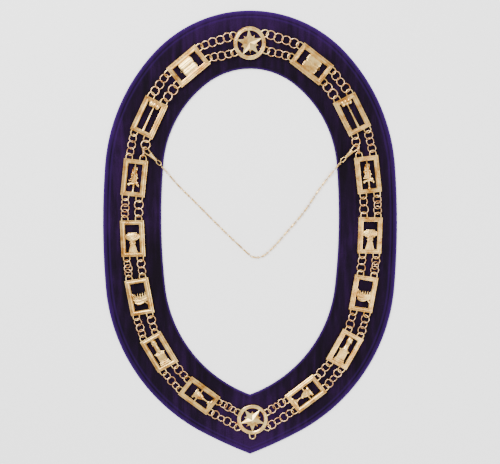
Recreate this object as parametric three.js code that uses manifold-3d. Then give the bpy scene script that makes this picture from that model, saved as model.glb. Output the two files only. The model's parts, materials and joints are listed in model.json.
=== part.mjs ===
// A chain of office: fourteen openwork plaques and two star medallions joined by twin strands of
// rings, laid round a velvet collar, with a fine drape chain clipped across the front by two snap
// hooks. Millimetres, +Z up, +Y towards the back of the neck, the collar's underside on Z = 0.
import * as THREE from "three";
import { mergeVertices } from "three/addons/utils/BufferGeometryUtils.js";
import Module from "manifold-3d";

const wasm = await Module();
wasm.setup();

// ---------------------------------------------------------------- driving dimensions

const WIRE_SIDES = 3; // sides of a ring's wire
const GAP = 0.3; // clear space between pieces that touch on the real chain

const BAND = { thickness: 2.2, edgeRound: 0.55, arcStep: 7.5 };

// Each edge is a run of arcs from its highest point, turning clockwise, mirrored about X = 0.
// The last arc runs on to the centre line, where the two halves meet in a point.
const OUTER_EDGE = {
  top: 267.8,
  arcs: [
    { radius: 154.6, turn: 46 },
    { radius: 220, turn: 38.7 },
    { radius: 957, turn: 8.75 },
    { radius: 223, turn: 58.2 },
    { radius: 582, turn: 0 },
  ],
};
const INNER_EDGE = {
  top: 201.5,
  arcs: [
    { radius: 83.6, turn: 37.4 },
    { radius: 133.7, turn: 47.2 },
    { radius: 772, turn: 11 },
    { radius: 160.9, turn: 0 },
  ],
};

// The line that the plaques' middles follow, and how far the whole chain has slid round it.
const CHAIN_LINE = {
  top: 230.4,
  sideways: 1.5,
  slide: -1.9,
  halfLength: 590,
  arcs: [
    { radius: 115.8, turn: 40 },
    { radius: 177, turn: 40.8 },
    { radius: 502, turn: 20.6 },
    { radius: 180.8, turn: 64.1 },
  ],
};

// Down each side from the top medallion: the emblem, its distance along the line from the piece
// before it, and how many rings join it to that piece in the outer and the inner strand.
const PLAQUES = [
  { emblem: "book", pitch: 77.4, outerRings: 4, innerRings: 3 },
  { emblem: "gavel", pitch: 75.7, outerRings: 3, innerRings: 2 },
  { emblem: "sword", pitch: 73.7, outerRings: 3, innerRings: 2 },
  { emblem: "sheaf", pitch: 72.5, outerRings: 3, innerRings: 2 },
  { emblem: "crown", pitch: 71.1, outerRings: 3, innerRings: 2 },
  { emblem: "column", pitch: 72.5, outerRings: 3, innerRings: 2 },
  { emblem: "cup", pitch: 73.5, outerRings: 3, innerRings: 2 },
];
const LAST_STRANDS = { outerRings: 4, innerRings: 3 }; // from the cups to the bottom medallion

const PLATE = {
  length: 43.9,
  width: 28.7,
  sideBar: 5.9,
  endBar: 5.3,
  bottom: 3.1,
  thickness: 3,
};
const LUG = { across: 8.2, out: 2.2, hole: 3.15, wire: 1.3, level: 5.7, sides: 7, clear: 1.4 };
// drop: how far a ring's lower edge hangs below its middle
const RING = { radius: 4.8, wire: 1.1, drop: 2.6, bite: 0.5, sides: 6 };
const MEDALLION = { radius: 18.9, hole: 14.3, lugAngle: 28, turn: 4, sides: 20 };
const STAR = { reach: 15.2, waist: 6, rayReach: 10.7, rayWaist: 6.5, rim: 1, peak: 3.4 };
const PENDANT_LOOP = { radius: 4.3, wire: 1.7, bite: 2.4, sides: 16 };

// The snap hook lies along its own +X, from the loop's base at x = 0 to the bend.
const HOOK = {
  wire: 1.5,
  bendRadius: 3,
  bendMiddle: 6.4,
  baseSpread: 1.9,
  barrelLength: 11,
  barrelHead: 3,
  barrelTail: 1.7,
  collar: 0.8,
  pitch: 8, // degrees that the hook slopes down towards the neck
  hingeX: -1.2, // the gate's hinge, in a slot in the barrel's head
  eye: 1,
  pin: 0.4,
  gateWire: 1.2,
  gateGap: 0.45,
};
const SWIVEL = { stem: 0.7, stemLength: 3, eyeLength: 3, eyeRadius: 2.4, wire: 1.1 };
const HEADING = { left: 135, right: 45 }; // the way each hook points, in degrees from +X
const HOOK_RING = { radius: 5.2, crossesAt: 0.62, sides: 10 }; // the upright ring that it holds

const DRAPE = { core: 1.8, sides: 4, steps: 44, bar: [7, 2.4, 1.9], repeat: 12.3 };
const DRAPE_END = { radius: 2.2, wire: 0.9, sides: 8 };
// The drape chain's route between the middles of its end rings, in the swivels' eyes. It leaves
// the hooks over the collar's inner edge and lies on the surface below it. Chosen by hand.
const DRAPE_ROUTE = [
  { x: -104.8, y: 88.7, z: 5.1 },
  { x: -98.4, y: 81, z: 3.6 },
  { x: -84.6, y: 64.5, z: 1.4 },
  { x: -66.5, y: 46.5, z: 1.3 },
  { x: -48.5, y: 28, z: 1.3 },
  { x: -30, y: 9.5, z: 1.3 },
  { x: -15.5, y: -4.5, z: 1.3 },
  { x: -0.7, y: -18, z: 1.3 },
  { x: 6.7, y: -21.2, z: 1.3 },
  { x: 16, y: -19.4, z: 1.3 },
  { x: 28.5, y: -8.5, z: 1.3 },
  { x: 42, y: 7, z: 1.3 },
  { x: 58, y: 25.5, z: 1.3 },
  { x: 69, y: 40, z: 1.3 },
  { x: 80.5, y: 58, z: 1.3 },
  { x: 93, y: 75, z: 1.7 },
  { x: 100.6, y: 85, z: 3.6 },
  { x: 106.9, y: 92.4, z: 5.1 },
];

const COLOURS = { velvet: 0x2a1440, gilt: 0xd9bc78 };

// ---------------------------------------------------------------- solids

const LEFT = -1;
const RIGHT = 1;
const radians = THREE.MathUtils.degToRad;

/** A closed geometry as a manifold solid, ready to be joined to others. */
function solid(geometry) {
  const bare = new THREE.BufferGeometry();
  bare.setAttribute("position", geometry.getAttribute("position").clone());
  if (geometry.index) bare.setIndex(geometry.index);
  const merged = mergeVertices(bare, 1e-4);
  return new wasm.Manifold(
    new wasm.Mesh({
      numProp: 3,
      vertProperties: new Float32Array(merged.attributes.position.array),
      triVerts: new Uint32Array(merged.index.array),
    }),
  );
}

/** A manifold solid back as a three.js geometry. */
function geometryOf(body) {
  const { vertProperties, triVerts } = body.getMesh();
  const geometry = new THREE.BufferGeometry();
  geometry.setAttribute("position", new THREE.BufferAttribute(vertProperties, 3));
  geometry.setIndex(new THREE.BufferAttribute(triVerts, 1));
  geometry.computeVertexNormals();
  return geometry;
}

/** One solid made of several. */
function joined(solids) {
  return solids.reduce((whole, next) => whole.add(next));
}

/** A flat outline of [x, y] corners raised from one height to another. */
function slab(corners, low, high) {
  const shape = new THREE.Shape(corners.map(([x, y]) => new THREE.Vector2(x, y)));
  const geometry = new THREE.ExtrudeGeometry(shape, { depth: high - low, bevelEnabled: false });
  return solid(geometry.translate(0, 0, low));
}

/** A box from its middle, its size and its heights, turned by an angle in degrees. */
function block(x, y, width, length, low, high, turn = 0) {
  const geometry = new THREE.BoxGeometry(width, length, high - low);
  geometry.rotateZ(radians(turn)).translate(x, y, (low + high) / 2);
  return solid(geometry);
}

/** A corner list mirrored about x = 0: the corners given run up the right side. */
function mirrored(corners) {
  const other = corners.filter(([x]) => x > 0).map(([x, y]) => [-x, y]);
  return [...corners, ...other.reverse()];
}

/** The corners of a regular polygon, as points. */
function polygon(radius, sides, turn = 0) {
  return Array.from({ length: sides }, (_, index) => {
    const angle = (2 * Math.PI * (index + turn)) / sides;
    return new THREE.Vector2(radius * Math.cos(angle), radius * Math.sin(angle));
  });
}

/** A ring of wire lying flat about a point. */
function flatRing(x, y, z, radius, wire, sides) {
  const geometry = new THREE.TorusGeometry(radius, wire / 2, WIRE_SIDES, sides);
  return solid(geometry.rotateZ(Math.PI / 2).translate(x, y, z));
}

/** A named, coloured mesh of a solid. */
function piece(name, body, colour = COLOURS.gilt) {
  const metal = colour === COLOURS.gilt;
  const material = new THREE.MeshStandardMaterial({
    color: colour,
    roughness: metal ? 0.3 : 1,
    metalness: metal ? 1 : 0,
  });
  const mesh = new THREE.Mesh(geometryOf(body), material);
  mesh.name = name;
  return mesh;
}

// ---------------------------------------------------------------- lines made of arcs

/** The point and heading a distance along a run of arcs; the last arc runs on without end. */
function along(line, distance) {
  let [x, y, heading, left] = [0, line.top, 0, distance];
  for (const [index, { radius, turn }] of line.arcs.entries()) {
    const last = index === line.arcs.length - 1;
    const used = last ? left : Math.min(left, radius * radians(turn));
    const next = heading - used / radius;
    x += radius * (Math.sin(heading) - Math.sin(next));
    y += radius * (Math.cos(next) - Math.cos(heading));
    heading = next;
    left -= used;
  }
  return { x, y, heading };
}

/** How far along a run of arcs its last arc meets the centre line. */
function distanceToCentreLine(line) {
  const before = line.arcs.slice(0, -1);
  const start = before.reduce((sum, { radius, turn }) => sum + radius * radians(turn), 0);
  const { x, heading } = along(line, start);
  const { radius } = line.arcs.at(-1);
  const headingThere = -Math.PI - Math.asin(Math.sin(heading) + x / radius);
  return start + radius * (heading - headingThere);
}

/** An edge's right half as points, from its top to the centre line, evenly turned. */
function edgePoints(line) {
  const whole = distanceToCentreLine(line);
  const points = [];
  let distance = 0;
  let start = 0;
  for (const { radius, turn } of line.arcs) {
    const end = turn ? start + radius * radians(turn) : whole;
    const steps = Math.ceil((end - start) / radius / radians(BAND.arcStep));
    for (let step = 0; step < steps; step++) {
      distance = start + ((end - start) * step) / steps;
      points.push(along(line, distance));
    }
    start = end;
  }
  points.push({ ...along(line, whole), x: 0 });
  return points;
}

/** An edge's whole loop as 2-D points. */
function edgeLoop(line) {
  const right = edgePoints(line);
  const left = right.slice(1, -1).reverse();
  return [
    ...right.map(({ x, y }) => new THREE.Vector2(x, y)),
    ...left.map(({ x, y }) => new THREE.Vector2(-x, y)),
  ];
}

// ---------------------------------------------------------------- velvet collar

/** The collar: a flat band of velvet on its backing, open for the neck, with rounded edges. */
function velvetBand() {
  const { thickness, edgeRound } = BAND;
  const shape = new THREE.Shape(edgeLoop(OUTER_EDGE));
  shape.holes.push(new THREE.Path(edgeLoop(INNER_EDGE).reverse())); // a hole runs the other way
  const geometry = new THREE.ExtrudeGeometry(shape, {
    depth: thickness - 2 * edgeRound,
    bevelThickness: edgeRound,
    bevelSize: edgeRound,
    bevelOffset: -edgeRound,
    bevelSegments: 1,
  });
  return piece("velvet_band", solid(geometry.translate(0, 0, edgeRound)), COLOURS.velvet);
}

// ---------------------------------------------------------------- stations along the chain

/** Where a piece of the chain sits, and the way that is up along the chain for it. */
function station(side, distance) {
  const placed = distance + side * CHAIN_LINE.slide;
  const mirror = placed < 0 ? -side : side;
  const { x, y, heading } = along(CHAIN_LINE, Math.abs(placed));
  return {
    x: mirror * x + CHAIN_LINE.sideways,
    y,
    up: new THREE.Vector2(-mirror * Math.cos(heading), -Math.sin(heading)),
  };
}

/** A plaque's own corner of the plane as a point of the whole part's plane. */
function fromPlate({ x, y, up }, across, upwards) {
  return new THREE.Vector2(x + across * up.y + upwards * up.x, y - across * up.x + upwards * up.y);
}

/** Sets a mesh at a station, its own +Y along the chain. */
function setAt(mesh, { x, y, up }) {
  mesh.position.set(x, y, 0);
  mesh.rotation.z = Math.atan2(up.y, up.x) - Math.PI / 2;
  return mesh;
}

// ---------------------------------------------------------------- plaques

const FACE = PLATE.bottom + PLATE.thickness;
const WINDOW = { x: PLATE.width / 2 - PLATE.sideBar, y: PLATE.length / 2 - PLATE.endBar };
const LUG_Y = PLATE.length / 2 + LUG.out;

/** A rectangle's outline, smaller than the plate by an inset. */
function plateOutline(sideInset, endInset) {
  const [x, y] = [PLATE.width / 2 - sideInset, PLATE.length / 2 - endInset];
  return [[-x, -y], [x, -y], [x, y], [-x, y]];
}

/** A rectangular frame between two outlines and two heights. */
function rim(outer, inner, low, high) {
  return slab(outer, low, high).subtract(slab(inner, low - 1, high + 1));
}

/** A cast lug: a flat loop for a ring, at a point of the plate's plane. */
function lug(x, y) {
  return flatRing(x, y, LUG.level, LUG.hole + LUG.wire / 2, LUG.wire, LUG.sides);
}

/** The plaque's frame: four flat bars and four lugs. */
function plaqueFrame() {
  const { bottom, sideBar, endBar } = PLATE;
  const bars = rim(plateOutline(0, 0), plateOutline(sideBar, endBar), bottom, FACE);
  const lugs = [-LUG_Y, LUG_Y].flatMap((y) => [lug(-LUG.across, y), lug(LUG.across, y)]);
  return joined([bars, ...lugs]);
}

const LOW = PLATE.bottom + 0.3;
const HIGH = FACE + 0.4;
const BACK = FACE - 1;
const SIDE_REACH = WINDOW.x + 1; // far enough to bite into the side bars
const END_REACH = WINDOW.y + 1;

/** An open book: two thick pages with lobed ends either side of a spine. */
function book() {
  const page = [[0, -8], [4, -9], [8, -8], [SIDE_REACH, -6], [SIDE_REACH, 6], [8, 8], [4, 9]];
  return [slab(mirrored([...page, [0, 8]]), LOW, FACE), block(0, 0, 1.8, 21, BACK, HIGH)];
}

/** A gavel: a barrel head against the top bar and a handle down to the bottom one. */
function gavel() {
  const head = new THREE.CylinderGeometry(3.6, 3.6, 12.6, 8).rotateZ(Math.PI / 2);
  const handle = [[-1.6, -END_REACH], [1.6, -END_REACH], [0.8, 13], [-0.8, 13]];
  return [
    solid(head.scale(1, 1, 0.5).translate(0, 15.6, (LOW + HIGH) / 2)),
    slab(handle, LOW, FACE),
    block(0, 5, 2.6, 1.4, LOW, HIGH),
  ];
}

/** A sword, point up, with a flared guard and a fold of drapery round its blade. */
function sword() {
  const blade = mirrored([[1.4, -END_REACH], [1.3, 12], [0.5, END_REACH]]);
  const guard = mirrored([[6.4, -9], [6.4, -4.4], [2, -6.4]]);
  const veil = [[-4.6, -3.4], [3, -4], [6.8, -11], [5.6, -2], [2.6, 9], [0, 13], [-2.4, 7]];
  return [
    slab(blade, LOW, HIGH),
    slab(guard, LOW, HIGH),
    slab(veil, LOW, FACE - 0.3),
  ];
}

/** A sheaf of corn: a dome of ears, a tied waist and spreading stalks. */
function sheaf() {
  const outline = [[6, -END_REACH], [3.4, -5.5], [SIDE_REACH, -2], [SIDE_REACH, 2], [5, 6], [1, 7]];
  return [slab(mirrored(outline), LOW, FACE), block(0, -6, 7.4, 1.8, LOW, HIGH)];
}

/** A crown of spikes on a curved rim, with a sceptre crossing behind it. */
function crown() {
  const spikes = [[5.5, -8], [SIDE_REACH, -4], [8, 2.5], [5.4, -0.5], [4, 3.5], [2.2, -0.5], [0, 4]];
  return [
    slab(mirrored(spikes), LOW, FACE),
    block(0, -7.4, 11, 1.8, LOW, HIGH),
    block(0.5, -2.6, 2, 21, LOW, FACE - 0.6, 52),
  ];
}

/** A broken column on a stepped base. */
function column() {
  const pedestal = [[6.6, -END_REACH], [6.6, -13], [5.6, -12], [5.6, -2.6], [6.5, -2.6], [6.5, -0.8]];
  const shaft = [
    [-3, -1], [3, -1], [2.8, 9], [3.8, 10.5], [3.4, 15.4], [0.6, 16.3], [-3.2, 15], [-3.8, 10.5],
    [-2.8, 9],
  ];
  return [slab(mirrored(pedestal), LOW, FACE), slab(shaft, LOW, FACE)];
}

/** A two-handled cup on a flared foot, pinned to the side bars. */
function cup() {
  const outline = [
    [6.8, -END_REACH], [6.6, -15.5], [1.4, -13.2], [0.9, -9], [1.6, -5.8], [4.2, -1.5],
    [5, 4.6], [6.6, 5.4], [6.6, 7.2], [0, 7.2],
  ];
  return [slab(mirrored(outline), LOW, FACE), block(0, 0.8, 2 * SIDE_REACH, 1.6, LOW, FACE - 0.8)];
}

const EMBLEMS = { book, gavel, sword, sheaf, crown, column, cup };

/** A finished plaque: its frame and its emblem, cast as one. */
function plaque(emblem) {
  return joined([plaqueFrame(), ...EMBLEMS[emblem]()]);
}

// ---------------------------------------------------------------- medallions

/** A faceted star that rises to a peak, its first point along +Y. */
function facetedStar(reach, waist, turn) {
  const corners = Array.from({ length: 10 }, (_, index) => {
    const angle = Math.PI / 2 + radians(turn) + (index * Math.PI) / 5;
    const radius = index % 2 ? waist : reach;
    return [radius * Math.cos(angle), radius * Math.sin(angle)];
  });
  const base = slab(corners, LOW, LOW + STAR.rim);
  const vertices = corners.flatMap(([x, y]) => [x, y, LOW + STAR.rim - 0.1]);
  const [peak, under] = [10, 11];
  vertices.push(0, 0, LOW + STAR.peak, 0, 0, LOW + 0.2);
  const faces = corners.flatMap((_, index) => {
    const next = (index + 1) % corners.length;
    return [index, next, peak, next, index, under];
  });
  const facets = new THREE.BufferGeometry();
  facets.setAttribute("position", new THREE.Float32BufferAttribute(vertices, 3));
  facets.setIndex(faces);
  return base.add(solid(facets));
}

/** A flat round plate with a round hole. */
function annulus(radius, hole, low, high, sides) {
  const circle = (size) => polygon(size, sides, 0.5).map(({ x, y }) => [x, y]);
  return rim(circle(radius), circle(hole), low, high);
}

/** The four lug middles of a medallion, in its own plane. */
function medallionLug(side, upper, turn = 0) {
  const reach = MEDALLION.radius + LUG.out;
  const angle = radians(MEDALLION.lugAngle) * (upper ? 1 : -1);
  const lugMiddle = new THREE.Vector2(side * reach * Math.cos(angle), reach * Math.sin(angle));
  return lugMiddle.rotateAround(new THREE.Vector2(), radians(turn)).toArray();
}

/** A medallion: a ring round a faceted star, with a lug for each strand. */
function medallion(starTurn) {
  const { radius, hole, sides } = MEDALLION;
  const ring = annulus(radius, hole, PLATE.bottom, FACE, sides);
  const lugs = [LEFT, RIGHT].flatMap((side) =>
    [true, false].map((upper) => lug(...medallionLug(side, upper))));
  const stars = [
    facetedStar(STAR.reach, STAR.waist, starTurn),
    facetedStar(STAR.rayReach, STAR.rayWaist, starTurn + 36),
  ];
  return joined([ring, ...lugs, ...stars]);
}

/** The flat loop under the bottom medallion that a badge hangs from. */
function pendantLoop() {
  const { radius, wire, bite, sides } = PENDANT_LOOP;
  const loop = annulus(radius, radius - wire, FACE - wire, FACE, sides);
  return loop.translate(0, bite - MEDALLION.radius - radius, 0);
}

// ---------------------------------------------------------------- ring strands

/** A ring of wire whose middle is a distance along the strand, rolled about the strand. */
function strandRing(x, z, radius, roll, sides = RING.sides) {
  const geometry = new THREE.TorusGeometry(radius, RING.wire / 2, WIRE_SIDES, sides);
  return solid(geometry.rotateX(roll).translate(x, 0, z));
}

/** The roll that brings a ring's lower edge down to the collar. */
function restingRoll(radius) {
  return Math.asin(RING.drop / radius);
}

/** How far a ring's wire can sit from the middle of a lug's many-sided hole and stay clear. */
const RING_PLAY = LUG.hole * Math.cos(Math.PI / LUG.sides) - RING.wire / 2 - LUG.clear;

/** The rings of a plain strand of a given span, each biting the next, rolled turn and turn about. */
function plainStrand(span, count, side) {
  const bites = (count - 1) * RING.bite;
  const slack = (span - 2 * count * RING.radius + bites) / 2;
  const play = THREE.MathUtils.clamp(slack, -RING_PLAY, RING_PLAY);
  const radius = (span - 2 * play + bites) / (2 * count);
  return Array.from({ length: count }, (_, index) => {
    const x = play + radius + index * (2 * radius - RING.bite);
    return strandRing(x, 0, radius, (index % 2 ? -side : side) * restingRoll(radius));
  });
}

/** The middle height of the upright ring, which stands on the collar inside the hook. */
const UPRIGHT_Z = BAND.thickness + GAP + HOOK_RING.radius + RING.wire / 2 - LUG.level;
/** Half the upright ring's width at the height of the lugs. */
const UPRIGHT_HALF = Math.sqrt(HOOK_RING.radius ** 2 - UPRIGHT_Z ** 2);

/** The rings of the strand that a hook is clipped to: one upright ring, then a flat one. */
function hookedStrand(span, side) {
  const nearWire = RING_PLAY + 2 * UPRIGHT_HALF - RING.bite;
  const radius = (span - RING_PLAY - nearWire) / 2;
  return [
    strandRing(RING_PLAY + UPRIGHT_HALF, UPRIGHT_Z, HOOK_RING.radius, Math.PI / 2, HOOK_RING.sides),
    strandRing(nearWire + radius, 0, radius, -side * restingRoll(radius)),
  ];
}

/** A strand's mesh from one lug's middle to another's. */
function strand(name, from, to, rings) {
  const mesh = piece(name, joined(rings));
  mesh.position.set(from.x, from.y, LUG.level);
  mesh.rotation.z = Math.atan2(to.y - from.y, to.x - from.x);
  return mesh;
}

// ---------------------------------------------------------------- snap hooks

/** A round wire along a short path, in the hook's own plane. */
function wireAlong(points, wire, steps, sides = 6) {
  const path = new THREE.CatmullRomCurve3(points.map(([x, y]) => new THREE.Vector3(x, y, 0)));
  const section = new THREE.Shape(polygon(wire / 2, sides));
  return solid(new THREE.ExtrudeGeometry(section, { steps, extrudePath: path }));
}

/** The hook's spine and bend: from the barrel, round the bend, to where the gate closes. */
function hookWire() {
  const { bendRadius, bendMiddle, baseSpread, wire } = HOOK;
  const bend = Array.from({ length: 9 }, (_, index) => {
    const angle = Math.PI / 2 - (index * Math.PI) / 8;
    return [bendMiddle + bendRadius * Math.cos(angle), bendRadius * Math.sin(angle)];
  });
  return wireAlong([[-1.5, baseSpread - 0.2], [0, baseSpread], ...bend], wire, 18);
}

/** The barrel: a tapered body with a collar at its head and a socket for the swivel. */
function barrel() {
  const { barrelLength, barrelHead, barrelTail, collar } = HOOK;
  const bore = SWIVEL.stem + GAP;
  const profile = [
    [0, 0], [barrelHead, 0], [barrelHead, -collar], [barrelHead - 0.5, -collar - 0.4],
    [barrelTail, -barrelLength], [bore, -barrelLength], [bore, -barrelLength + 3], [0, -barrelLength + 3],
  ];
  const points = profile.map(([radius, height]) => new THREE.Vector2(radius, height)).reverse();
  const geometry = new THREE.LatheGeometry(points, 10);
  return solid(geometry.rotateZ(-Math.PI / 2));
}

/** An upright round pin in the hook's own plane. */
function uprightPin(x, y, radius, height) {
  const geometry = new THREE.CylinderGeometry(radius, radius, height, 8);
  return solid(geometry.rotateX(Math.PI / 2).translate(x, y, 0));
}

/** The hook's body: barrel, spine and bend in one, slotted for the gate, with its hinge pin. */
function hookBody() {
  const { hingeX, baseSpread, barrelHead, wire, eye, pin } = HOOK;
  const half = wire / 2 + GAP;
  const [back, front] = [hingeX - eye - GAP, 1];
  const [outside, inside] = [-barrelHead - 1, eye + GAP - baseSpread];
  const [x, y] = [(back + front) / 2, (outside + inside) / 2];
  const slot = block(x, y, front - back, inside - outside, -half, half);
  const rivet = uprightPin(hingeX, -baseSpread, pin, 2 * half + 1);
  return joined([barrel(), hookWire()]).subtract(slot).add(rivet);
}

/** The sprung gate about its own hinge: a straight bar that reaches the bend's end. */
function hookGate() {
  const { bendMiddle, bendRadius, baseSpread, hingeX, gateGap, gateWire, wire, eye, pin } = HOOK;
  const tip = new THREE.Vector2(bendMiddle - gateGap - hingeX, baseSpread - bendRadius);
  const bar = new THREE.BoxGeometry(tip.length(), gateWire, wire).translate(tip.length() / 2, 0, 0);
  const round = new THREE.CylinderGeometry(eye, eye, wire, 10).rotateX(Math.PI / 2);
  const hole = uprightPin(0, 0, pin + GAP, 2 * wire);
  const gate = joined([solid(bar), solid(round)]).subtract(hole);
  return gate.rotate([0, 0, THREE.MathUtils.radToDeg(tip.angle())]);
}

/** A long loop's outline: two half rounds of a radius, a length apart along -X. */
function longLoop(radius, length) {
  const half = (start, x) => Array.from({ length: 5 }, (_, index) => {
    const angle = start + (index * Math.PI) / 4;
    return [x + radius * Math.cos(angle), radius * Math.sin(angle)];
  });
  return [...half(-Math.PI / 2, 0), ...half(Math.PI / 2, -length)];
}

/** The swivel, from the barrel's end: a stem that turns in it and a long flat eye. */
function swivel() {
  const { stem, stemLength, eyeLength, eyeRadius, wire } = SWIVEL;
  const rod = new THREE.CylinderGeometry(stem, stem, stemLength, 8).rotateZ(Math.PI / 2);
  const outside = longLoop(eyeRadius, eyeLength);
  const inside = longLoop(eyeRadius - wire, eyeLength);
  const eye = rim(outside, inside, -wire / 2, wire / 2);
  return joined([solid(rod.translate(eyeRadius, 0, 0)), eye]);
}

/** One hook's meshes, laid so that its bend holds the upright ring of its strand. */
function hook(side, word, ringMiddle, strandUp) {
  const { bendMiddle, bendRadius, wire, hingeX, baseSpread, barrelLength, pitch } = HOOK;
  const { radius, crossesAt } = HOOK_RING;
  const reach = Math.sqrt(radius ** 2 - crossesAt ** 2);
  const held = ringMiddle.clone().addScaledVector(strandUp, reach);
  const name = `${word}_hook`;
  const gate = piece(`${name}_gate`, hookGate());
  gate.position.set(hingeX, -baseSpread, 0);
  const eye = piece(`${name}_swivel`, swivel());
  eye.position.x = -barrelLength - GAP - SWIVEL.eyeRadius;
  const laid = new THREE.Group();
  laid.add(piece(`${name}_body`, hookBody()), gate, eye);
  laid.rotation.x = side === LEFT ? 0 : Math.PI; // the spine lies towards the lower plaque
  laid.position.x = GAP + (wire + RING.wire) / 2 - bendMiddle - bendRadius;
  const group = new THREE.Group();
  group.add(laid);
  group.rotation.set(0, -radians(pitch), radians(HEADING[word]), "ZYX");
  group.position.set(held.x, held.y, UPRIGHT_Z + LUG.level + crossesAt);
  return group;
}

// ---------------------------------------------------------------- drape chain

/** A small upright ring at one end of the drape chain, in line with its hook. */
function drapeEnd({ x, y, z }, heading) {
  const { radius, wire, sides } = DRAPE_END;
  const geometry = new THREE.TorusGeometry(radius, wire / 2, WIRE_SIDES, sides);
  return solid(geometry.rotateX(Math.PI / 2).rotateZ(radians(heading)).translate(x, y, z));
}

/** The fine chain: a core along its true route, thickened at each of its long flat links. */
function drapeChain() {
  const { core, sides, steps, bar, repeat } = DRAPE;
  const path = new THREE.CatmullRomCurve3(
    DRAPE_ROUTE.map(({ x, y, z }) => new THREE.Vector3(x, y, z)),
  );
  const section = new THREE.Shape(polygon(core / 2, sides));
  const tube = solid(new THREE.ExtrudeGeometry(section, { steps, extrudePath: path }));
  const links = Math.floor(path.getLength() / repeat);
  const bars = Array.from({ length: links }, (_, index) => {
    const part = (index + 0.5) / links;
    const { x, y, z } = path.getPointAt(part);
    const tangent = path.getTangentAt(part);
    const geometry = new THREE.BoxGeometry(...bar).rotateZ(Math.atan2(tangent.y, tangent.x));
    return solid(geometry.translate(x, y, z));
  });
  const ends = [drapeEnd(DRAPE_ROUTE[0], HEADING.left), drapeEnd(DRAPE_ROUTE.at(-1), HEADING.right)];
  return piece("drape_chain", joined([tube, ...bars, ...ends]));
}

// ---------------------------------------------------------------- the whole chain

/** The pieces of one side in order: the plaques' stations, from the top medallion down. */
function sideStations(side) {
  let distance = 0;
  return PLAQUES.map(({ emblem, pitch, outerRings, innerRings }) => {
    distance += pitch;
    return { emblem, outerRings, innerRings, ...station(side, distance) };
  });
}

const TOP = station(RIGHT, 0);
const BOTTOM = station(RIGHT, CHAIN_LINE.halfLength);

/** The middle of one lug of a plaque or medallion. */
function lugPoint(place, side, outer, upper) {
  if (place.emblem) {
    const across = (outer ? side : -side) * LUG.across;
    return fromPlate(place, across, upper ? LUG_Y : -LUG_Y);
  }
  const top = place === TOP;
  const [x, y] = medallionLug(side, outer === top, top ? MEDALLION.turn : 0);
  return new THREE.Vector2(place.x + x, place.y + y);
}

/** One side's plaques, strands and hook. */
function sideOfChain(side) {
  const word = side === LEFT ? "left" : "right";
  const group = new THREE.Group();
  const places = [TOP, ...sideStations(side), { ...LAST_STRANDS, ...BOTTOM }];
  for (const [index, place] of places.entries()) {
    if (place.emblem) group.add(setAt(piece(`${word}_${place.emblem}`, plaque(place.emblem)), place));
    if (index === 0) continue;
    const above = places[index - 1];
    for (const outer of [true, false]) {
      const from = lugPoint(place, side, outer, true);
      const to = lugPoint(above, side, outer, false);
      const name = `${word}_${outer ? "outer" : "inner"}_strand_${index}`;
      const span = from.distanceTo(to);
      const hooked = place.emblem === "sword" && !outer;
      const count = outer ? place.outerRings : place.innerRings;
      const rings = hooked ? hookedStrand(span, side) : plainStrand(span, count, side);
      group.add(strand(name, from, to, rings));
      if (!hooked) continue;
      const strandUp = to.clone().sub(from).normalize();
      const ringMiddle = from.clone().addScaledVector(strandUp, RING_PLAY + UPRIGHT_HALF);
      group.add(hook(side, word, ringMiddle, strandUp));
    }
  }
  return group;
}

/** The whole chain of office. */
function chainOfOffice() {
  const group = new THREE.Group();
  const top = piece("medallion_top", medallion(0));
  top.position.set(TOP.x, TOP.y, 0);
  top.rotation.z = radians(MEDALLION.turn); // it has slipped round a little
  const bottom = piece("medallion_bottom", joined([medallion(180), pendantLoop()]));
  bottom.position.set(BOTTOM.x, BOTTOM.y, 0);
  group.add(velvetBand(), top, bottom, sideOfChain(LEFT), sideOfChain(RIGHT), drapeChain());
  return group;
}

export default chainOfOffice();
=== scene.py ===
"""A chain of office laid flat: a velvet collar, openwork gilt plaques and star medallions joined by
strands of jump rings, and a fine drape chain on two snap hooks. Lengths are millimetres in the
classes and metres in Blender."""

import json
import logging
import math
import random
from collections.abc import Callable, Iterable, Sequence
from dataclasses import dataclass, field
from enum import Enum

import bpy
from mathutils import Euler, Matrix, Vector

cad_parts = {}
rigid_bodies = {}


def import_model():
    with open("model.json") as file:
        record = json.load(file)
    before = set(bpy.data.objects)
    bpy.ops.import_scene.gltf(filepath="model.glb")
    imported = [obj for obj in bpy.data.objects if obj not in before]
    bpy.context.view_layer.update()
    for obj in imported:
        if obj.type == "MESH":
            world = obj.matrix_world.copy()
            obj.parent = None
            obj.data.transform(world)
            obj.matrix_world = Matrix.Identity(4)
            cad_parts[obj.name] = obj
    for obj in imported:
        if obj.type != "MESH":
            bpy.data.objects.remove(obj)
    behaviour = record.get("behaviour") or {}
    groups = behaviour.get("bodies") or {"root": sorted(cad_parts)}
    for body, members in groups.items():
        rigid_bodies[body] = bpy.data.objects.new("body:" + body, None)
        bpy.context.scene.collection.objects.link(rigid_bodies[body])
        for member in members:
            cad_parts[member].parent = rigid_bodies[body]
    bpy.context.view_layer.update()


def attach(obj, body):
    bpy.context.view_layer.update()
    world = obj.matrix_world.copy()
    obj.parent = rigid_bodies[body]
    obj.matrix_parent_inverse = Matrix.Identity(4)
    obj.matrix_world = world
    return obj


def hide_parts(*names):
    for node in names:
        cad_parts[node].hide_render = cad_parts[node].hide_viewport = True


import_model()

LOG = logging.getLogger("chain_of_office")
MM = 0.001
ROOT = "chain"
FLOOR_Z = -0.0002

Point = tuple[float, float]
Obj = bpy.types.Object


# ------------------------------------------------------------------ small tools


def mm(*values: float) -> Vector:
    """A vector in metres from millimetres."""
    return Vector(values) * MM


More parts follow.
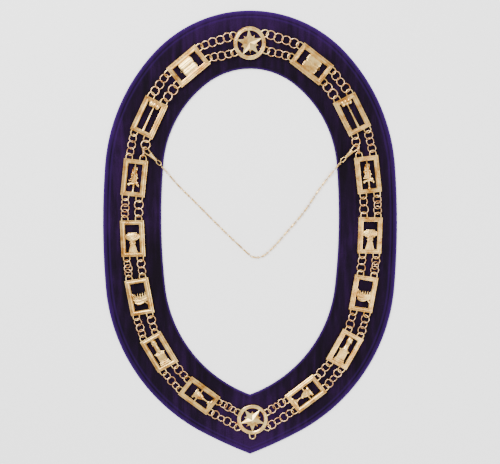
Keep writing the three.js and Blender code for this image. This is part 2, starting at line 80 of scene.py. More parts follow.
def linear(hex_colour: str) -> tuple[float, float, float, float]:
    """An sRGB hex colour as linear RGBA.

    Args:
        hex_colour: Six hex digits.

    Returns:
        The linear colour with full alpha.
    """
    parts = [int(hex_colour[i:i + 2], 16) / 255 for i in (0, 2, 4)]
    low = [p / 12.92 if p <= 0.04045 else ((p + 0.055) / 1.055) ** 2.4 for p in parts]
    return (*low, 1.0)


def select_only(*objects: Obj) -> None:
    """Selects these objects alone and makes the first the active one."""
    if bpy.context.object and bpy.context.object.mode != "OBJECT":
        bpy.ops.object.mode_set(mode="OBJECT")
    for other in bpy.context.view_layer.objects:
        other.select_set(False)
    for chosen in objects:
        chosen.select_set(True)
    bpy.context.view_layer.objects.active = objects[0]


def primitive(add: Callable[..., object], **settings: object) -> Obj:
    """Adds one primitive with nothing else selected.

    Args:
        add: The bpy.ops.mesh call.
        settings: What it takes.

    Returns:
        The new object.
    """
    for other in bpy.context.view_layer.objects:
        other.select_set(False)
    add(**settings)
    return bpy.context.object


def settle(piece: Obj) -> Obj:
    """Applies a piece's own place, turn and size to its mesh.

    Args:
        piece: The object.

    Returns:
        The same object.
    """
    select_only(piece)
    bpy.ops.object.transform_apply(location=True, rotation=True, scale=True)
    return piece


def joined(parts: Sequence[Obj]) -> Obj:
    """One object made of several, with their places applied.

    Args:
        parts: The objects, the first of which is kept.

    Returns:
        The joined object.
    """
    for part in parts:
        settle(part)
    select_only(*parts)
    if len(parts) > 1:
        bpy.ops.object.join()
    return bpy.context.object


def with_modifier(piece: Obj, kind: str, **settings: object) -> Obj:
    """Adds a modifier to a piece and applies it.

    Args:
        piece: The object.
        kind: The modifier's type name.
        settings: Its properties.

    Returns:
        The same object.
    """
    select_only(piece)
    modifier = piece.modifiers.new(kind.lower(), kind)
    for name, value in settings.items():
        setattr(modifier, name, value)
    bpy.ops.object.modifier_apply(modifier=modifier.name)
    return piece


def outward(piece: Obj) -> Obj:
    """Merges doubles and turns every face outwards.

    Args:
        piece: The object.

    Returns:
        The same object.
    """
    select_only(piece)
    bpy.ops.object.mode_set(mode="EDIT")
    bpy.ops.mesh.select_all(action="SELECT")
    bpy.ops.mesh.remove_doubles(threshold=0.00002)
    bpy.ops.mesh.normals_make_consistent(inside=False)
    bpy.ops.object.mode_set(mode="OBJECT")
    return piece


def smooth(piece: Obj, degrees: float = 35) -> Obj:
    """Shades a piece smooth up to an angle.

    Args:
        piece: The object.
        degrees: Edges sharper than this stay sharp.

    Returns:
        The same object.
    """
    select_only(piece)
    bpy.ops.object.shade_smooth_by_angle(angle=math.radians(degrees))
    return piece


def bevelled(piece: Obj, width: float) -> Obj:
    """Rounds a piece's sharp edges by a width in millimetres."""
    return with_modifier(piece, "BEVEL", width=width * MM, segments=2, limit_method="ANGLE",
                         angle_limit=math.radians(38))


def mesh_of(name: str, points: Iterable[Vector], faces: Iterable[Sequence[int]]) -> Obj:
    """A mesh object from points in metres and faces.

    Args:
        name: The object's name.
        points: Metres.
        faces: The point numbers of each face, or none.

    Returns:
        The new object.
    """
    data = bpy.data.meshes.new(name)
    data.from_pydata([tuple(p) for p in points], [], [tuple(f) for f in faces])
    data.update()
    made = bpy.data.objects.new(name, data)
    bpy.context.scene.collection.objects.link(made)
    return made


def looped(name: str, points: Sequence[Vector], size: int) -> Obj:
    """A closed mesh through loops of points, each joined to the next and the last to the first.

    Args:
        name: The object's name.
        points: Metres, loop after loop.
        size: How many points a loop has.

    Returns:
        The piece, its faces outwards.
    """
    loops = len(points) // size
    faces = [(a * size + k, a * size + (k + 1) % size, b * size + (k + 1) % size, b * size + k)
             for a in range(loops) for b in [(a + 1) % loops] for k in range(size)]
    return outward(mesh_of(name, points, faces))


def raised(outline: Sequence[Point], low: float, high: float, crown: float = 0.5,
           rise: float = 0.3) -> Obj:
    """A flat outline raised to a face that is crowned by an inset.

    Args:
        outline: Corners in millimetres, anticlockwise.
        low: Height of the underside.
        high: Height of the edge.
        crown: How far in the crowned face starts.
        rise: How far it stands above the edge.

    Returns:
        The closed piece.
    """
    piece = mesh_of("raised", [mm(x, y, low) for x, y in outline], [range(len(outline))])
    select_only(piece)
    bpy.ops.object.mode_set(mode="EDIT")
    bpy.ops.mesh.select_all(action="SELECT")
    bpy.ops.mesh.extrude_region_move(TRANSFORM_OT_translate={"value": (0, 0, (high - low) * MM)})
    if crown:
        bpy.ops.mesh.inset(thickness=crown * MM, depth=0)
        bpy.ops.transform.translate(value=(0, 0, rise * MM))
    bpy.ops.object.mode_set(mode="OBJECT")
    return outward(piece)


def turned(profile: Sequence[Point], steps: int, flatten: float = 1) -> Obj:
    """A solid of revolution about its own Y axis, spun from a profile.

    Args:
        profile: (radius, y) pairs in millimetres from one end of the axis to the other.
        steps: Faces round it.
        flatten: The share of its depth that is kept in Z.

    Returns:
        The closed piece, its axis on the origin's Y.
    """
    count = len(profile)
    piece = mesh_of("turned", [mm(r, y, 0) for r, y in profile], [])
    piece.data.edges.add(count - 1)
    for index in range(count - 1):
        piece.data.edges[index].vertices = (index, index + 1)
    select_only(piece)
    bpy.ops.object.mode_set(mode="EDIT")
    bpy.ops.mesh.select_all(action="SELECT")
    bpy.ops.mesh.spin(steps=steps, angle=math.tau, center=(0, 0, 0), axis=(0, 1, 0))
    bpy.ops.object.mode_set(mode="OBJECT")
    outward(piece)
    piece.scale = (1, 1, flatten)
    return settle(piece)


def rod(points: Sequence[Sequence[float]], radii: Sequence[float] | float, sides: int = 2,
        flatten: float = 1) -> Obj:
    """A round wire through points, with a radius at each.

    Args:
        points: Millimetres.
        radii: One radius, or one for each point.
        sides: The curve's bevel resolution.
        flatten: The share of its depth that is kept in Z about its first point.

    Returns:
        The closed piece as a mesh.
    """
    each = [radii] * len(points) if isinstance(radii, (int, float)) else radii
    curve = bpy.data.curves.new("rod", "CURVE")
    curve.dimensions, curve.bevel_depth, curve.bevel_resolution = "3D", MM, sides
    curve.use_fill_caps, curve.resolution_u = True, 4
    line = curve.splines.new("BEZIER")
    line.bezier_points.add(len(points) - 1)
    for knot, place, radius in zip(line.bezier_points, points, each):
        knot.co, knot.radius = mm(*place), radius
        knot.handle_left_type = knot.handle_right_type = "AUTO"
    made = bpy.data.objects.new("rod", curve)
    bpy.context.scene.collection.objects.link(made)
    select_only(made)
    bpy.ops.object.convert(target="MESH")
    piece = bpy.context.object
    if flatten != 1:
        middle = points[0][2] * MM
        for vertex in piece.data.vertices:
            vertex.co.z = middle + (vertex.co.z - middle) * flatten
    return outward(piece)


def bead(x: float, y: float, z: float, size: Sequence[float], turn: float = 0,
         fine: int = 1) -> Obj:
    """A small rounded grain: half sizes in millimetres and a turn in degrees.

    Args:
        x: Millimetres.
        y: Millimetres.
        z: Millimetres.
        size: Half sizes along its own axes.
        turn: Degrees about Z.
        fine: How many times it is subdivided.

    Returns:
        The grain.
    """
    grain = primitive(bpy.ops.mesh.primitive_ico_sphere_add, subdivisions=fine, radius=MM,
                      location=mm(x, y, z), rotation=(0, 0, math.radians(turn)))
    grain.scale = size
    return settle(grain)


def ring_of(radius: float, wire: float, around: int, section: int) -> Obj:
    """A round wire ring lying flat at the origin."""
    return primitive(bpy.ops.mesh.primitive_torus_add, major_radius=radius * MM,
                     minor_radius=wire / 2 * MM, major_segments=around, minor_segments=section)


def placed_copy(source: Obj, matrix: Matrix, name: str) -> Obj:
    """A copy with a mesh of its own, its place in the mesh.

    Args:
        source: The pattern.
        matrix: Where the copy goes, in metres.
        name: The object's name.

    Returns:
        The copy.
    """
    made = source.copy()
    made.data = source.data.copy()
    made.name = made.data.name = name
    bpy.context.scene.collection.objects.link(made)
    made.data.transform(matrix)
    return made


def discard(*objects: Obj) -> None:
    """Removes pattern pieces that have been copied."""
    for thing in objects:
        bpy.data.objects.remove(thing, do_unlink=True)


# ------------------------------------------------------------------ finishes


def node(tree: bpy.types.NodeTree, kind: str, settings: dict[str, object] | None = None,
         **links: object) -> bpy.types.Node:
    """Adds one shader node.

    Args:
        tree: The material's node tree.
        kind: The node's type name.
        settings: Its properties.
        links: Input names (with _ for a space) to values or to output sockets.

    Returns:
        The node.
    """
    made = tree.nodes.new(kind)
    for name, value in (settings or {}).items():
        setattr(made, name, value)
    for name, value in links.items():
        key = int(name[1:]) if name[0] == "i" and name[1:].isdigit() else name.replace("_", " ")
        socket = made.inputs[key]
        if isinstance(value, bpy.types.NodeSocket):
            tree.links.new(value, socket)
        else:
            socket.default_value = value
    return made


def ramp(tree: bpy.types.NodeTree, source: bpy.types.NodeSocket,
         stops: Sequence[tuple[float, str]]) -> bpy.types.NodeSocket:
    """A colour ramp through hex stops, fed by a socket.

    Args:
        tree: The material's node tree.
        source: What drives the ramp.
        stops: (place, hex colour) pairs in order.

    Returns:
        The colour output.
    """
    made = node(tree, "ShaderNodeValToRGB", Fac=source)
    elements = made.color_ramp.elements
    while len(elements) < len(stops):
        elements.new(0.5)
    for element, (place, colour) in zip(elements, stops):
        element.position, element.color = place, linear(colour)
    return made.outputs["Color"]


def empty_material(name: str) -> tuple[bpy.types.Material, bpy.types.NodeTree,
                                       bpy.types.Node]:
    """A new node material and its main shader.

    Args:
        name: The object's name.

    Returns:
        The material, its node tree and its shader.
    """
    made = bpy.data.materials.new(name)
    made.use_nodes = True
    return made, made.node_tree, made.node_tree.nodes["Principled BSDF"]


@dataclass(frozen=True)
class Gilt:
    """Gold-plated brass, cast or drawn and then polished: a pale warm mirror that is uneven from
    polishing and darkens a little where the plating is thin."""

    name: str
    light: str
    deep: str
    roughness: float
    wander_mm: float = 9

    def make(self) -> bpy.types.Material:
        """The material.

        Returns:
            A metal whose colour, gloss and dents wander at the polishing's own scale.
        """
        made, tree, shader = empty_material(self.name)
        place = node(tree, "ShaderNodeTexCoord").outputs["Object"]
        broad = node(tree, "ShaderNodeTexNoise", Vector=place, Scale=1 / (self.wander_mm * MM),
                     Detail=3.0, Roughness=0.55).outputs["Fac"]
        fine = node(tree, "ShaderNodeTexNoise", Vector=place, Scale=1 / (0.9 * MM), Detail=2.0,
                    Roughness=0.6).outputs["Fac"]
        colour = ramp(tree, broad, [(0.3, self.deep), (0.62, self.light)])
        gloss = node(tree, "ShaderNodeMapRange", Value=fine, i1=0.3, i2=0.7,
                     i3=self.roughness * 0.75, i4=self.roughness * 1.3).outputs["Result"]
        dents = node(tree, "ShaderNodeBump", Strength=0.22, Distance=0.12 * MM,
                     Height=fine).outputs["Normal"]
        tree.links.new(colour, shader.inputs["Base Color"])
        tree.links.new(gloss, shader.inputs["Roughness"])
        tree.links.new(dents, shader.inputs["Normal"])
        shader.inputs["Metallic"].default_value = 1.0
        return made


@dataclass(frozen=True)
class CottonVelvet:
    """Cotton velvet, woven and cut: a soft matt pile that is nearly black where it stands up and violet in
    brushed patches, with painted sheen in a brighter violet on the rolled edges and the hem."""

    name: str
    deep: str = "0d0511"
    field_colour: str = "15071e"
    brushed: str = "260d38"
    # edge: the brighter violet of the painted sheen on the rolled edges and the hem
    edge: str = "2e0c55"

    def make(self) -> bpy.types.Material:
        """The material.

        Returns:
            A cloth whose pile lies in patches and streaks, with painted sheen set by its "edge" attribute.
        """
        made, tree, shader = empty_material(self.name)
        place = node(tree, "ShaderNodeTexCoord").outputs["Object"]
        patches = node(tree, "ShaderNodeTexNoise", Vector=place, Scale=1 / (75 * MM), Detail=4.0,
                       Roughness=0.6, Distortion=0.6).outputs["Fac"]
        # streaks of laid pile, about 7 mm apart
        stretched = node(tree, "ShaderNodeMapping", Vector=place,
                         Scale=(1 / (7 * MM), 1 / (60 * MM), 1 / (20 * MM))).outputs["Vector"]
        streaks = node(tree, "ShaderNodeTexNoise", Vector=stretched, Scale=1.0, Detail=3.0,
                       Roughness=0.65).outputs["Fac"]
        # the tufts, drawn at 1.1 mm, coarser than real, so that the pile shows
        tufts = node(tree, "ShaderNodeTexNoise", Vector=place, Scale=1 / (1.1 * MM), Detail=3.0,
                     Roughness=0.7).outputs["Fac"]
        laid = node(tree, "ShaderNodeAttribute", {"attribute_name": "laid"}).outputs["Fac"]
        rim = node(tree, "ShaderNodeAttribute", {"attribute_name": "edge"}).outputs["Fac"]
        lift = node(tree, "ShaderNodeMath", {"operation": "MULTIPLY_ADD"}, i0=streaks, i1=0.55,
                    i2=node(tree, "ShaderNodeMath", {"operation": "MULTIPLY"}, i0=patches,
                            i1=0.45).outputs[0]).outputs[0]
        lift = node(tree, "ShaderNodeMath", {"operation": "MULTIPLY_ADD"}, i0=laid, i1=0.22,
                    i2=lift).outputs[0]
        cloth = ramp(tree, lift, [(0.4, self.deep), (0.53, self.field_colour),
                                  (0.72, self.brushed)])
        grain = ramp(tree, tufts, [(0.3, "8c8c8c"), (0.7, "ffffff")])
        cloth = node(tree, "ShaderNodeMix", {"data_type": "RGBA", "blend_type": "MULTIPLY"},
                     Factor=0.8, i6=cloth, i7=grain).outputs[2]
        # painted sheen: the cloth turns towards the brighter edge colour as far as the "edge" attribute
        # says
        cloth = node(tree, "ShaderNodeMix", {"data_type": "RGBA"}, Factor=rim, i6=cloth,
                     i7=linear(self.edge)).outputs[2]
        tree.links.new(cloth, shader.inputs["Base Color"])
        pile = node(tree, "ShaderNodeBump", Strength=0.5, Distance=0.5 * MM,
                    Height=tufts).outputs["Normal"]
        tree.links.new(pile, shader.inputs["Normal"])
        shader.inputs["Roughness"].default_value = 0.95
        shader.inputs["Specular IOR Level"].default_value = 0.1
        shader.inputs["Sheen Weight"].default_value = 0.07
        shader.inputs["Sheen Roughness"].default_value = 0.45
        shader.inputs["Sheen Tint"].default_value = linear("7a3fa8")
        return made


@dataclass(frozen=True)
class Paper:
    """Matt white paper, the surface that everything lies on."""

    name: str = "studio_paper"

    def make(self) -> bpy.types.Material:
        """The material.

        Returns:
            The material.
        """
        made, tree, shader = empty_material(self.name)
        place = node(tree, "ShaderNodeTexCoord").outputs["Object"]
        fibre = node(tree, "ShaderNodeTexNoise", Vector=place, Scale=300.0).outputs["Fac"]
        tree.links.new(ramp(tree, fibre, [(0.2, "fbfbfb"), (0.8, "ffffff")]),
                       shader.inputs["Base Color"])
        shader.inputs["Roughness"].default_value = 0.9
        return made


@dataclass(frozen=True)
class Finishes:
    """Every finish on the object, made once."""

    cast: bpy.types.Material
    star: bpy.types.Material
    wire: bpy.types.Material
    chain: bpy.types.Material
    velvet: bpy.types.Material

    @staticmethod
    def make() -> "Finishes":
        """The finishes: cast frames, cut stars, drawn rings, fine chain and velvet.

        Returns:
            All five finishes.
        """
        return Finishes(
            cast=Gilt("gilt_cast_brass", "f3cf82", "b98338", 0.2).make(),
            star=Gilt("gilt_cut_brass", "f8dc97", "c4924a", 0.18).make(),
            wire=Gilt("gilt_drawn_wire", "e8bf8a", "a8703f", 0.22, 5).make(),
            chain=Gilt("gilt_fine_chain", "efcb84", "b08440", 0.2, 4).make(),
            velvet=CottonVelvet("purple_cotton_velvet").make(),
        )


def finish_piece(piece: Obj, name: str, material: bpy.types.Material,
                 body: str = ROOT, replaces: Sequence[str] = ()) -> Obj:
    """Names, dresses and attaches a finished piece.

    Args:
        piece: The object, its place in its mesh.
        name: Its plain name.
        material: Its finish.
        body: The CAD body that it rides on.
        replaces: The CAD nodes that it stands for.

    Returns:
        The piece.
    """
    piece.name = piece.data.name = name
    piece.data.materials.clear()
    piece.data.materials.append(material)
    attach(piece, body)
    if replaces:
        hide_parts(*replaces)
    LOG.info("%s: %d faces", name, len(piece.data.polygons))
    return piece


# ------------------------------------------------------------------ lines made of arcs


@dataclass(frozen=True)
class ArcLine:
    """Half of a line that is mirrored about X = 0: arcs from its highest point, turning clockwise.

    arcs holds (radius in mm, turn in degrees); the last arc runs on to the centre line."""

    top: float
    arcs: tuple[tuple[float, float], ...]

    def at(self, distance: float) -> tuple[float, float, float]:
        """The x, y and heading at a distance along it.

        Args:
            distance: Millimetres from the highest point.

        Returns:
            x and y in mm, and the heading in radians.
        """
        x, y, heading, left = 0.0, self.top, 0.0, distance
        for index, (radius, turn) in enumerate(self.arcs):
            last = index == len(self.arcs) - 1
            used = left if last else min(left, radius * math.radians(turn))
            turned_to = heading - used / radius
            x += radius * (math.sin(heading) - math.sin(turned_to))
            y += radius * (math.cos(turned_to) - math.cos(heading))
            heading, left = turned_to, left - used
        return x, y, heading

    def length(self) -> float:
        """How far along it the last arc meets the centre line.

        Returns:
            Millimetres from the highest point to the lowest.
        """
        start = sum(radius * math.radians(turn) for radius, turn in self.arcs[:-1])
        x, _, heading = self.at(start)
        radius = self.arcs[-1][0]
        there = -math.pi - math.asin(math.sin(heading) + x / radius)
        return start + radius * (heading - there)


OUTER_EDGE = ArcLine(267.8, ((154.6, 46), (220, 38.7), (957, 8.75), (223, 58.2), (582, 0)))
INNER_EDGE = ArcLine(201.5, ((83.6, 37.4), (133.7, 47.2), (772, 11), (160.9, 0)))
CHAIN_LINE = ArcLine(230.4, ((115.8, 40), (177, 40.8), (502, 20.6), (180.8, 64.1)))


# ------------------------------------------------------------------ the collar


@dataclass
class VelvetCollar:
    """The flat velvet band, its edges turned over a stiff backing and stitched down."""

    around: int = 460
    across: tuple[float, ...] = (0, 0.35, 1, 1.9, 2.8, 4, 5.2, 5.9, 6.5, 7.3, 9)
    field_rows: int = 14
    thickness: float = 2.2
    width: float = 66
    edge_drop: float = 1.0
    edge_round: float = 1.2
    roll: float = 0.35
    roll_at: float = 2.6
    roll_spread: float = 1.5
    stitch_depth: float = 0.45
    stitch_at: float = 5.9
    stitch_spread: float = 0.5
    wave: float = 0.12
    under_round: float = 0.7
    seed: int = 7

    def _line(self, edge: ArcLine, share: float) -> Vector:
        """A point on an edge, at a share of the whole way round from the top.

        Args:
            edge: The outer or the inner edge.
            share: How far round or across, from 0 to 1.

        Returns:
            The point, in mm.
        """
        side = 1 if share < 0.5 else -1
        part = share if share < 0.5 else 1 - share
        x, y, _ = edge.at(edge.length() * part * 2)
        return Vector((x * side, y))

    def _rows(self) -> list[tuple[float, float]]:
        """(share of the width, millimetres from the nearer edge) across the band.

        Returns:
            The rows from the outer edge to the inner one.
        """
        outer = [(d / self.width, d) for d in self.across]
        inner = [(1 - d / self.width, d) for d in (6, 4.5, 3, 2, 1.1, 0.45, 0)]
        start, stop = outer[-1][0], inner[0][0]
        middle = [start + (stop - start) * (k + 1) / (self.field_rows + 1)
                  for k in range(self.field_rows)]
        return outer + [(share, 20.0) for share in middle] + inner

    def _height(self, share: float, distance: float) -> float:
        """The top surface's height in millimetres at a place across the band.

        Args:
            share: How far across, from the outer edge to the inner.
            distance: Millimetres from the nearer edge.

        Returns:
            Millimetres.
        """
        height = self.thickness
        height -= self.edge_drop * max(0.0, 1 - distance / self.edge_round) ** 2
        height += self.roll * math.exp(-((distance - self.roll_at) / self.roll_spread) ** 2)
        if share < 0.5:
            off_stitch = (distance - self.stitch_at) / self.stitch_spread
            height -= self.stitch_depth * math.exp(-off_stitch ** 2)
        return height

    def build(self, finish: bpy.types.Material) -> Obj:
        """Makes the collar and its edge attributes.

        Args:
            finish: The velvet.

        Returns:
            The collar.
        """
        draw = random.Random(self.seed)
        rows = self._rows()
        waves = [(draw.uniform(2, 15), draw.uniform(0, math.tau)) for _ in range(6)]
        points, edge, laid = [], [], []
        for step in range(self.around):
            share = step / self.around
            outer, inner = self._line(OUTER_EDGE, share), self._line(INNER_EDGE, share)
            ripple = sum(math.sin(math.tau * share * round(f) + p) for f, p in waves) / 6
            for part, distance in rows:
                place = outer.lerp(inner, part)
                wave = self.wave * ripple * math.sin(math.pi * part)
                height = self._height(part, distance) + wave
                points.append(mm(place.x, place.y, height))
                edge.append(self._painted_edge_sheen(part, distance))
                laid.append(self._laid(place))
            for part, distance in reversed(rows):
                place = outer.lerp(inner, part)
                low = self.under_round * max(0.0, 1 - distance) ** 2
                points.append(mm(place.x, place.y, low))
                edge.append(0.0)
                laid.append(0.0)
        collar = looped("velvet_collar", points, len(rows) * 2)
        # "edge" holds how much painted sheen each point gets; "laid" holds where the pile is brushed
        for name, values in (("edge", edge), ("laid", laid)):
            layer = collar.data.attributes.new(name, "FLOAT", "POINT")
            layer.data.foreach_set("value", values)
        smooth(collar, 70)
        finish_piece(collar, "velvet_collar", finish, replaces=["velvet_band"])
        return collar

    def _painted_edge_sheen(self, part: float, distance: float) -> float:
        """How much painted sheen a point gets: most on the rolled edges, a little on the hem.

        Args:
            part: How far across, from the outer edge to the inner.
            distance: Millimetres from the nearer edge.

        Returns:
            From 0 to 1.
        """
        if part > 0.5:
            return 0.75 * math.exp(-((distance - 0.6) / 0.9) ** 2)
        hem = 0.28 * (1 if distance < 5.2 else 0)
        return min(1.0, 0.8 * math.exp(-((distance - 0.6) / 1.1) ** 2) + hem
                   + 0.3 * math.exp(-((distance - 7.0) / 0.7) ** 2))

    def _laid(self, place: Vector) -> float:
        """Where the pile is brushed: the point at the bottom and the outer part of the top.

        Args:
            place: A point in mm.

        Returns:
            From 0 to 1.
        """
        point = math.exp(-(place.x / 55) ** 2) * min(1.0, max(0.0, (-175 - place.y) / 40))
        top = min(1.0, max(0.0, (place.y - 215) / 40))
        flank = math.exp(-((place.x + 155) / 16) ** 2) * math.exp(-((place.y - 110) / 90) ** 2)
        return min(1.0, point + 0.75 * top + 0.5 * flank)


# ------------------------------------------------------------------ cast frames


@dataclass
class PlaqueFrame:
    """A plaque's moulded frame: an outer ridge, a channel, an inner ridge, and four lugs."""

    length: float = 43.9
    width: float = 28.7
    side_bar: float = 5.9
    end_bar: float = 5.3
    bottom: float = 2.3
    channel: float = 5.35
    # the moulding from the outer edge in: (share of the bar's width, height above the channel)
    moulding: tuple[tuple[float, float], ...] = (
        (0.0, 0.15), (0.05, 0.55), (0.13, 0.85), (0.22, 0.85), (0.29, 0.1), (0.36, 0.1),
        (0.42, 0.7), (0.5, 0.95), (0.66, 0.95), (0.74, 0.7), (0.79, 0.15), (0.84, 0.15),
        (0.9, 0.6), (0.97, 0.55), (1.0, 0.2))

    def _loop(self, share: float, height: float) -> list[Vector]:
        """The bars' four corners at one line of the moulding.

        Args:
            share: How far in the line is, as a share of the bars' width.
            height: How high it is, in mm.

        Returns:
            The corners, anticlockwise.
        """
        half_x = self.width / 2 - self.side_bar * share
        half_y = self.length / 2 - self.end_bar * share
        return [mm(x * half_x, y * half_y, height)
                for x, y in ((-1, -1), (1, -1), (1, 1), (-1, 1))]

    def build(self) -> list[Obj]:
        """Lofts the bars round the window along their moulding, and adds the lugs.

        Returns:
            The bars and the four lugs.
        """
        lines = [(0.0, self.bottom), *[(s, self.channel + h) for s, h in self.moulding],
                 (1.0, self.bottom)]
        bars = looped("bars", [c for share, z in lines for c in self._loop(share, z)], 4)
        lugs = [Lug().build(x, y * (self.length / 2), 0 if y > 0 else 180)
                for x in (-Lug.across, Lug.across) for y in (1, -1)]
        return [bars, *lugs]


@dataclass
class Lug:
    """A cast loop that stands from an edge: half a ring with two short legs."""

    across: float = 8.2
    out: float = 2.2
    radius: float = 3.75
    wire: float = 1.45
    level: float = 5.5
    leg: float = 3.4

    def build(self, x: float, y: float, turn: float) -> Obj:
        """A lug at a point of an edge, pointing along +Y turned by an angle.

        Args:
            x: Millimetres.
            y: Millimetres.
            turn: Degrees.

        Returns:
            The lug.
        """
        loop = ring_of(self.radius, self.wire, 24, 8)
        select_only(loop)
        bpy.ops.object.mode_set(mode="EDIT")
        bpy.ops.mesh.select_all(action="SELECT")
        bpy.ops.mesh.bisect(plane_co=(0, 0, 0), plane_no=(0, 1, 0), clear_inner=True)
        bpy.ops.mesh.extrude_edges_move(TRANSFORM_OT_translate={"value": (0, -self.leg * MM, 0)})
        bpy.ops.mesh.edge_face_add()
        bpy.ops.object.mode_set(mode="OBJECT")
        loop = smooth(outward(loop), 50)
        loop.matrix_world = (Matrix.Translation(mm(x, y, self.level))
                             @ Matrix.Rotation(math.radians(turn), 4, "Z")
                             @ Matrix.Translation(mm(0, self.out, 0)))
        return settle(loop)


class Emblem(Enum):
    """The traditional figures, in the order that they follow the top medallion."""

    BOOK = "book"
    GAVEL = "gavel"
    SWORD = "sword"
    SHEAF = "sheaf"
    CROWN = "crown"
    COLUMN = "column"
    CUP = "cup"


@dataclass
class EmblemMaker:
    """Models each emblem in a plaque's own plane, its window 16.9 by 33.3 mm."""

    low: float = 3.0
    face: float = 6.2
    reach_x: float = 9.0
    reach_y: float = 17.2
    seed: int = 11

    def build(self, emblem: Emblem) -> list[Obj]:
        """The parts of one emblem."""
        return getattr(self, f"_{emblem.value}")()

    def _mirrored(self, corners: Sequence[Point]) -> list[Point]:
        """Corners up the right side, and the same down the left."""
        return [*corners, *[(-x, y) for x, y in reversed(corners) if x > 0]]

    def _book(self) -> list[Obj]:
        """An open book: two crowned leaves either side of a spine, with a ribbon's loop.

        Returns:
            Its parts, in the plaque's own plane.
        """
        leaves = primitive(bpy.ops.mesh.primitive_grid_add, x_subdivisions=40, y_subdivisions=16,
                           size=1)
        for vertex in leaves.data.vertices:
            across, along = vertex.co.x * 2, vertex.co.y * 2
            lobe = abs(math.sin(math.pi * min(1.0, abs(across) * 1.05)))
            reach = 7.7 + 1.5 * lobe ** 0.7
            arch = 1.9 * (1 - (abs(across) - 0.42) ** 2 * 2.2)
            furrow = 0.16 * math.cos(abs(across) * 24)
            vertex.co = mm(across * self.reach_x, along * reach - 0.2,
                           self.face - 1.6 + arch + furrow - 0.5 * abs(along) ** 6)
        with_modifier(leaves, "SOLIDIFY", thickness=1.3 * MM, offset=-1)
        cover = raised(self._mirrored([(0, -8.2), (self.reach_x, -7.2), (self.reach_x, 6.8),
                                       (0, 7.8)]), self.low, self.face - 1.2, 0)
        spine = [bead(0, y * 1.25, self.face - 0.2, (0.55, 0.5, 0.4)) for y in range(-6, 7)]
        ribbon = ring_of(1.15, 0.6, 16, 6)
        ribbon.location = mm(0, -10, self.face - 0.9)
        tail = rod([(0, -9, self.face - 0.8), (0.2, -7.5, self.face - 0.4)], 0.4)
        return [smooth(leaves, 40), cover, *spine, smooth(settle(ribbon)), tail]

    def _gavel(self) -> list[Obj]:
        """A gavel: three fat rings for its head and a long handle with a bead.

        Returns:
            Its parts, in the plaque's own plane.
        """
        profile = [(0, -6.4), (1.8, -6.4), (2.9, -6.1)]
        for middle in (-4.1, 0, 4.1):
            profile += [(3.0, middle - 1.9), (3.9, middle - 1.3), (4.2, middle),
                        (3.9, middle + 1.3), (3.0, middle + 1.9)]
        profile += [(2.9, 6.1), (1.8, 6.4), (0, 6.4)]
        head = turned(profile, 22, 0.62)
        head.rotation_euler.z = math.radians(86)
        head.location = mm(0, 15.6, self.face - 0.8)
        handle = turned([(0, -17.4), (1.7, -17.4), (1.55, -14), (1.2, -6), (0.95, 1.5), (0.85, 3.6),
                         (1.5, 4.2), (1.5, 5.2), (0.8, 5.8), (0.75, 12), (0, 12)], 14, 0.9)
        handle.location = mm(0.1, 0, self.face - 0.9)
        return [smooth(settle(head), 40), smooth(settle(handle), 40)]

    def _sword(self) -> list[Obj]:
        """A sword point up, its guard across, with drapery over the blade.

        Returns:
            Its parts, in the plaque's own plane.
        """
        blade = raised(self._mirrored([(1.2, -5), (1.1, 9), (0.5, self.reach_y)]), self.low,
                       self.face - 0.2, 0.45, 0.7)
        grip = turned([(0, -17.4), (1.7, -17.2), (1.7, -16), (1.05, -15), (1.0, -13), (1.25, -11.5),
                       (1.0, -10), (1.2, -8), (0, -8)], 12, 0.9)
        grip.location = mm(0, 0, self.face - 0.7)
        guard = rod([(-6.3, -8.6, 5.8), (-4, -7.2, 5.9), (0, -6.8, 6.2), (3.4, -6.2, 5.9),
                     (5, -5.4, 5.8)], [1.9, 1.2, 1.3, 1.1, 1.3], 2, 0.8)
        folds = primitive(bpy.ops.mesh.primitive_grid_add, x_subdivisions=22, y_subdivisions=26,
                          size=1)
        for vertex in folds.data.vertices:
            across, down = vertex.co.x + 0.5, 0.5 - vertex.co.y
            left = -0.9 - 3.6 * down ** 0.8 + 0.5 * math.sin(down * 19)
            right = 0.9 + 5.6 * down ** 1.25 + 0.45 * math.sin(down * 15 + 1)
            hem = -4.0 - 7.0 * across ** 1.6
            height = 12.5 + (hem - 12.5) * down
            fold = 0.65 * math.sin(across * 13 + down * 5) + 0.3 * math.sin(down * 17 + across * 6)
            vertex.co = mm(left + (right - left) * across, height, self.face - 0.5 + fold
                           - 1.2 * abs(across - 0.5))
        with_modifier(folds, "SOLIDIFY", thickness=1.6 * MM, offset=-1)
        leaves = [bead(x, y, self.face - 0.6, (1.7, 0.9, 0.8), turn, 2) for x, y, turn in
                  ((-3.4, -1.2, 30), (-2.8, 2.2, 50), (-2.0, 5.4, 60), (-4.6, -3.6, 10),
                   (2.6, 4.2, -60), (3.6, 0.6, -60))]
        return [bevelled(blade, 0.15), smooth(settle(grip)), smooth(guard, 50),
                smooth(folds, 50), *[smooth(leaf, 60) for leaf in leaves]]

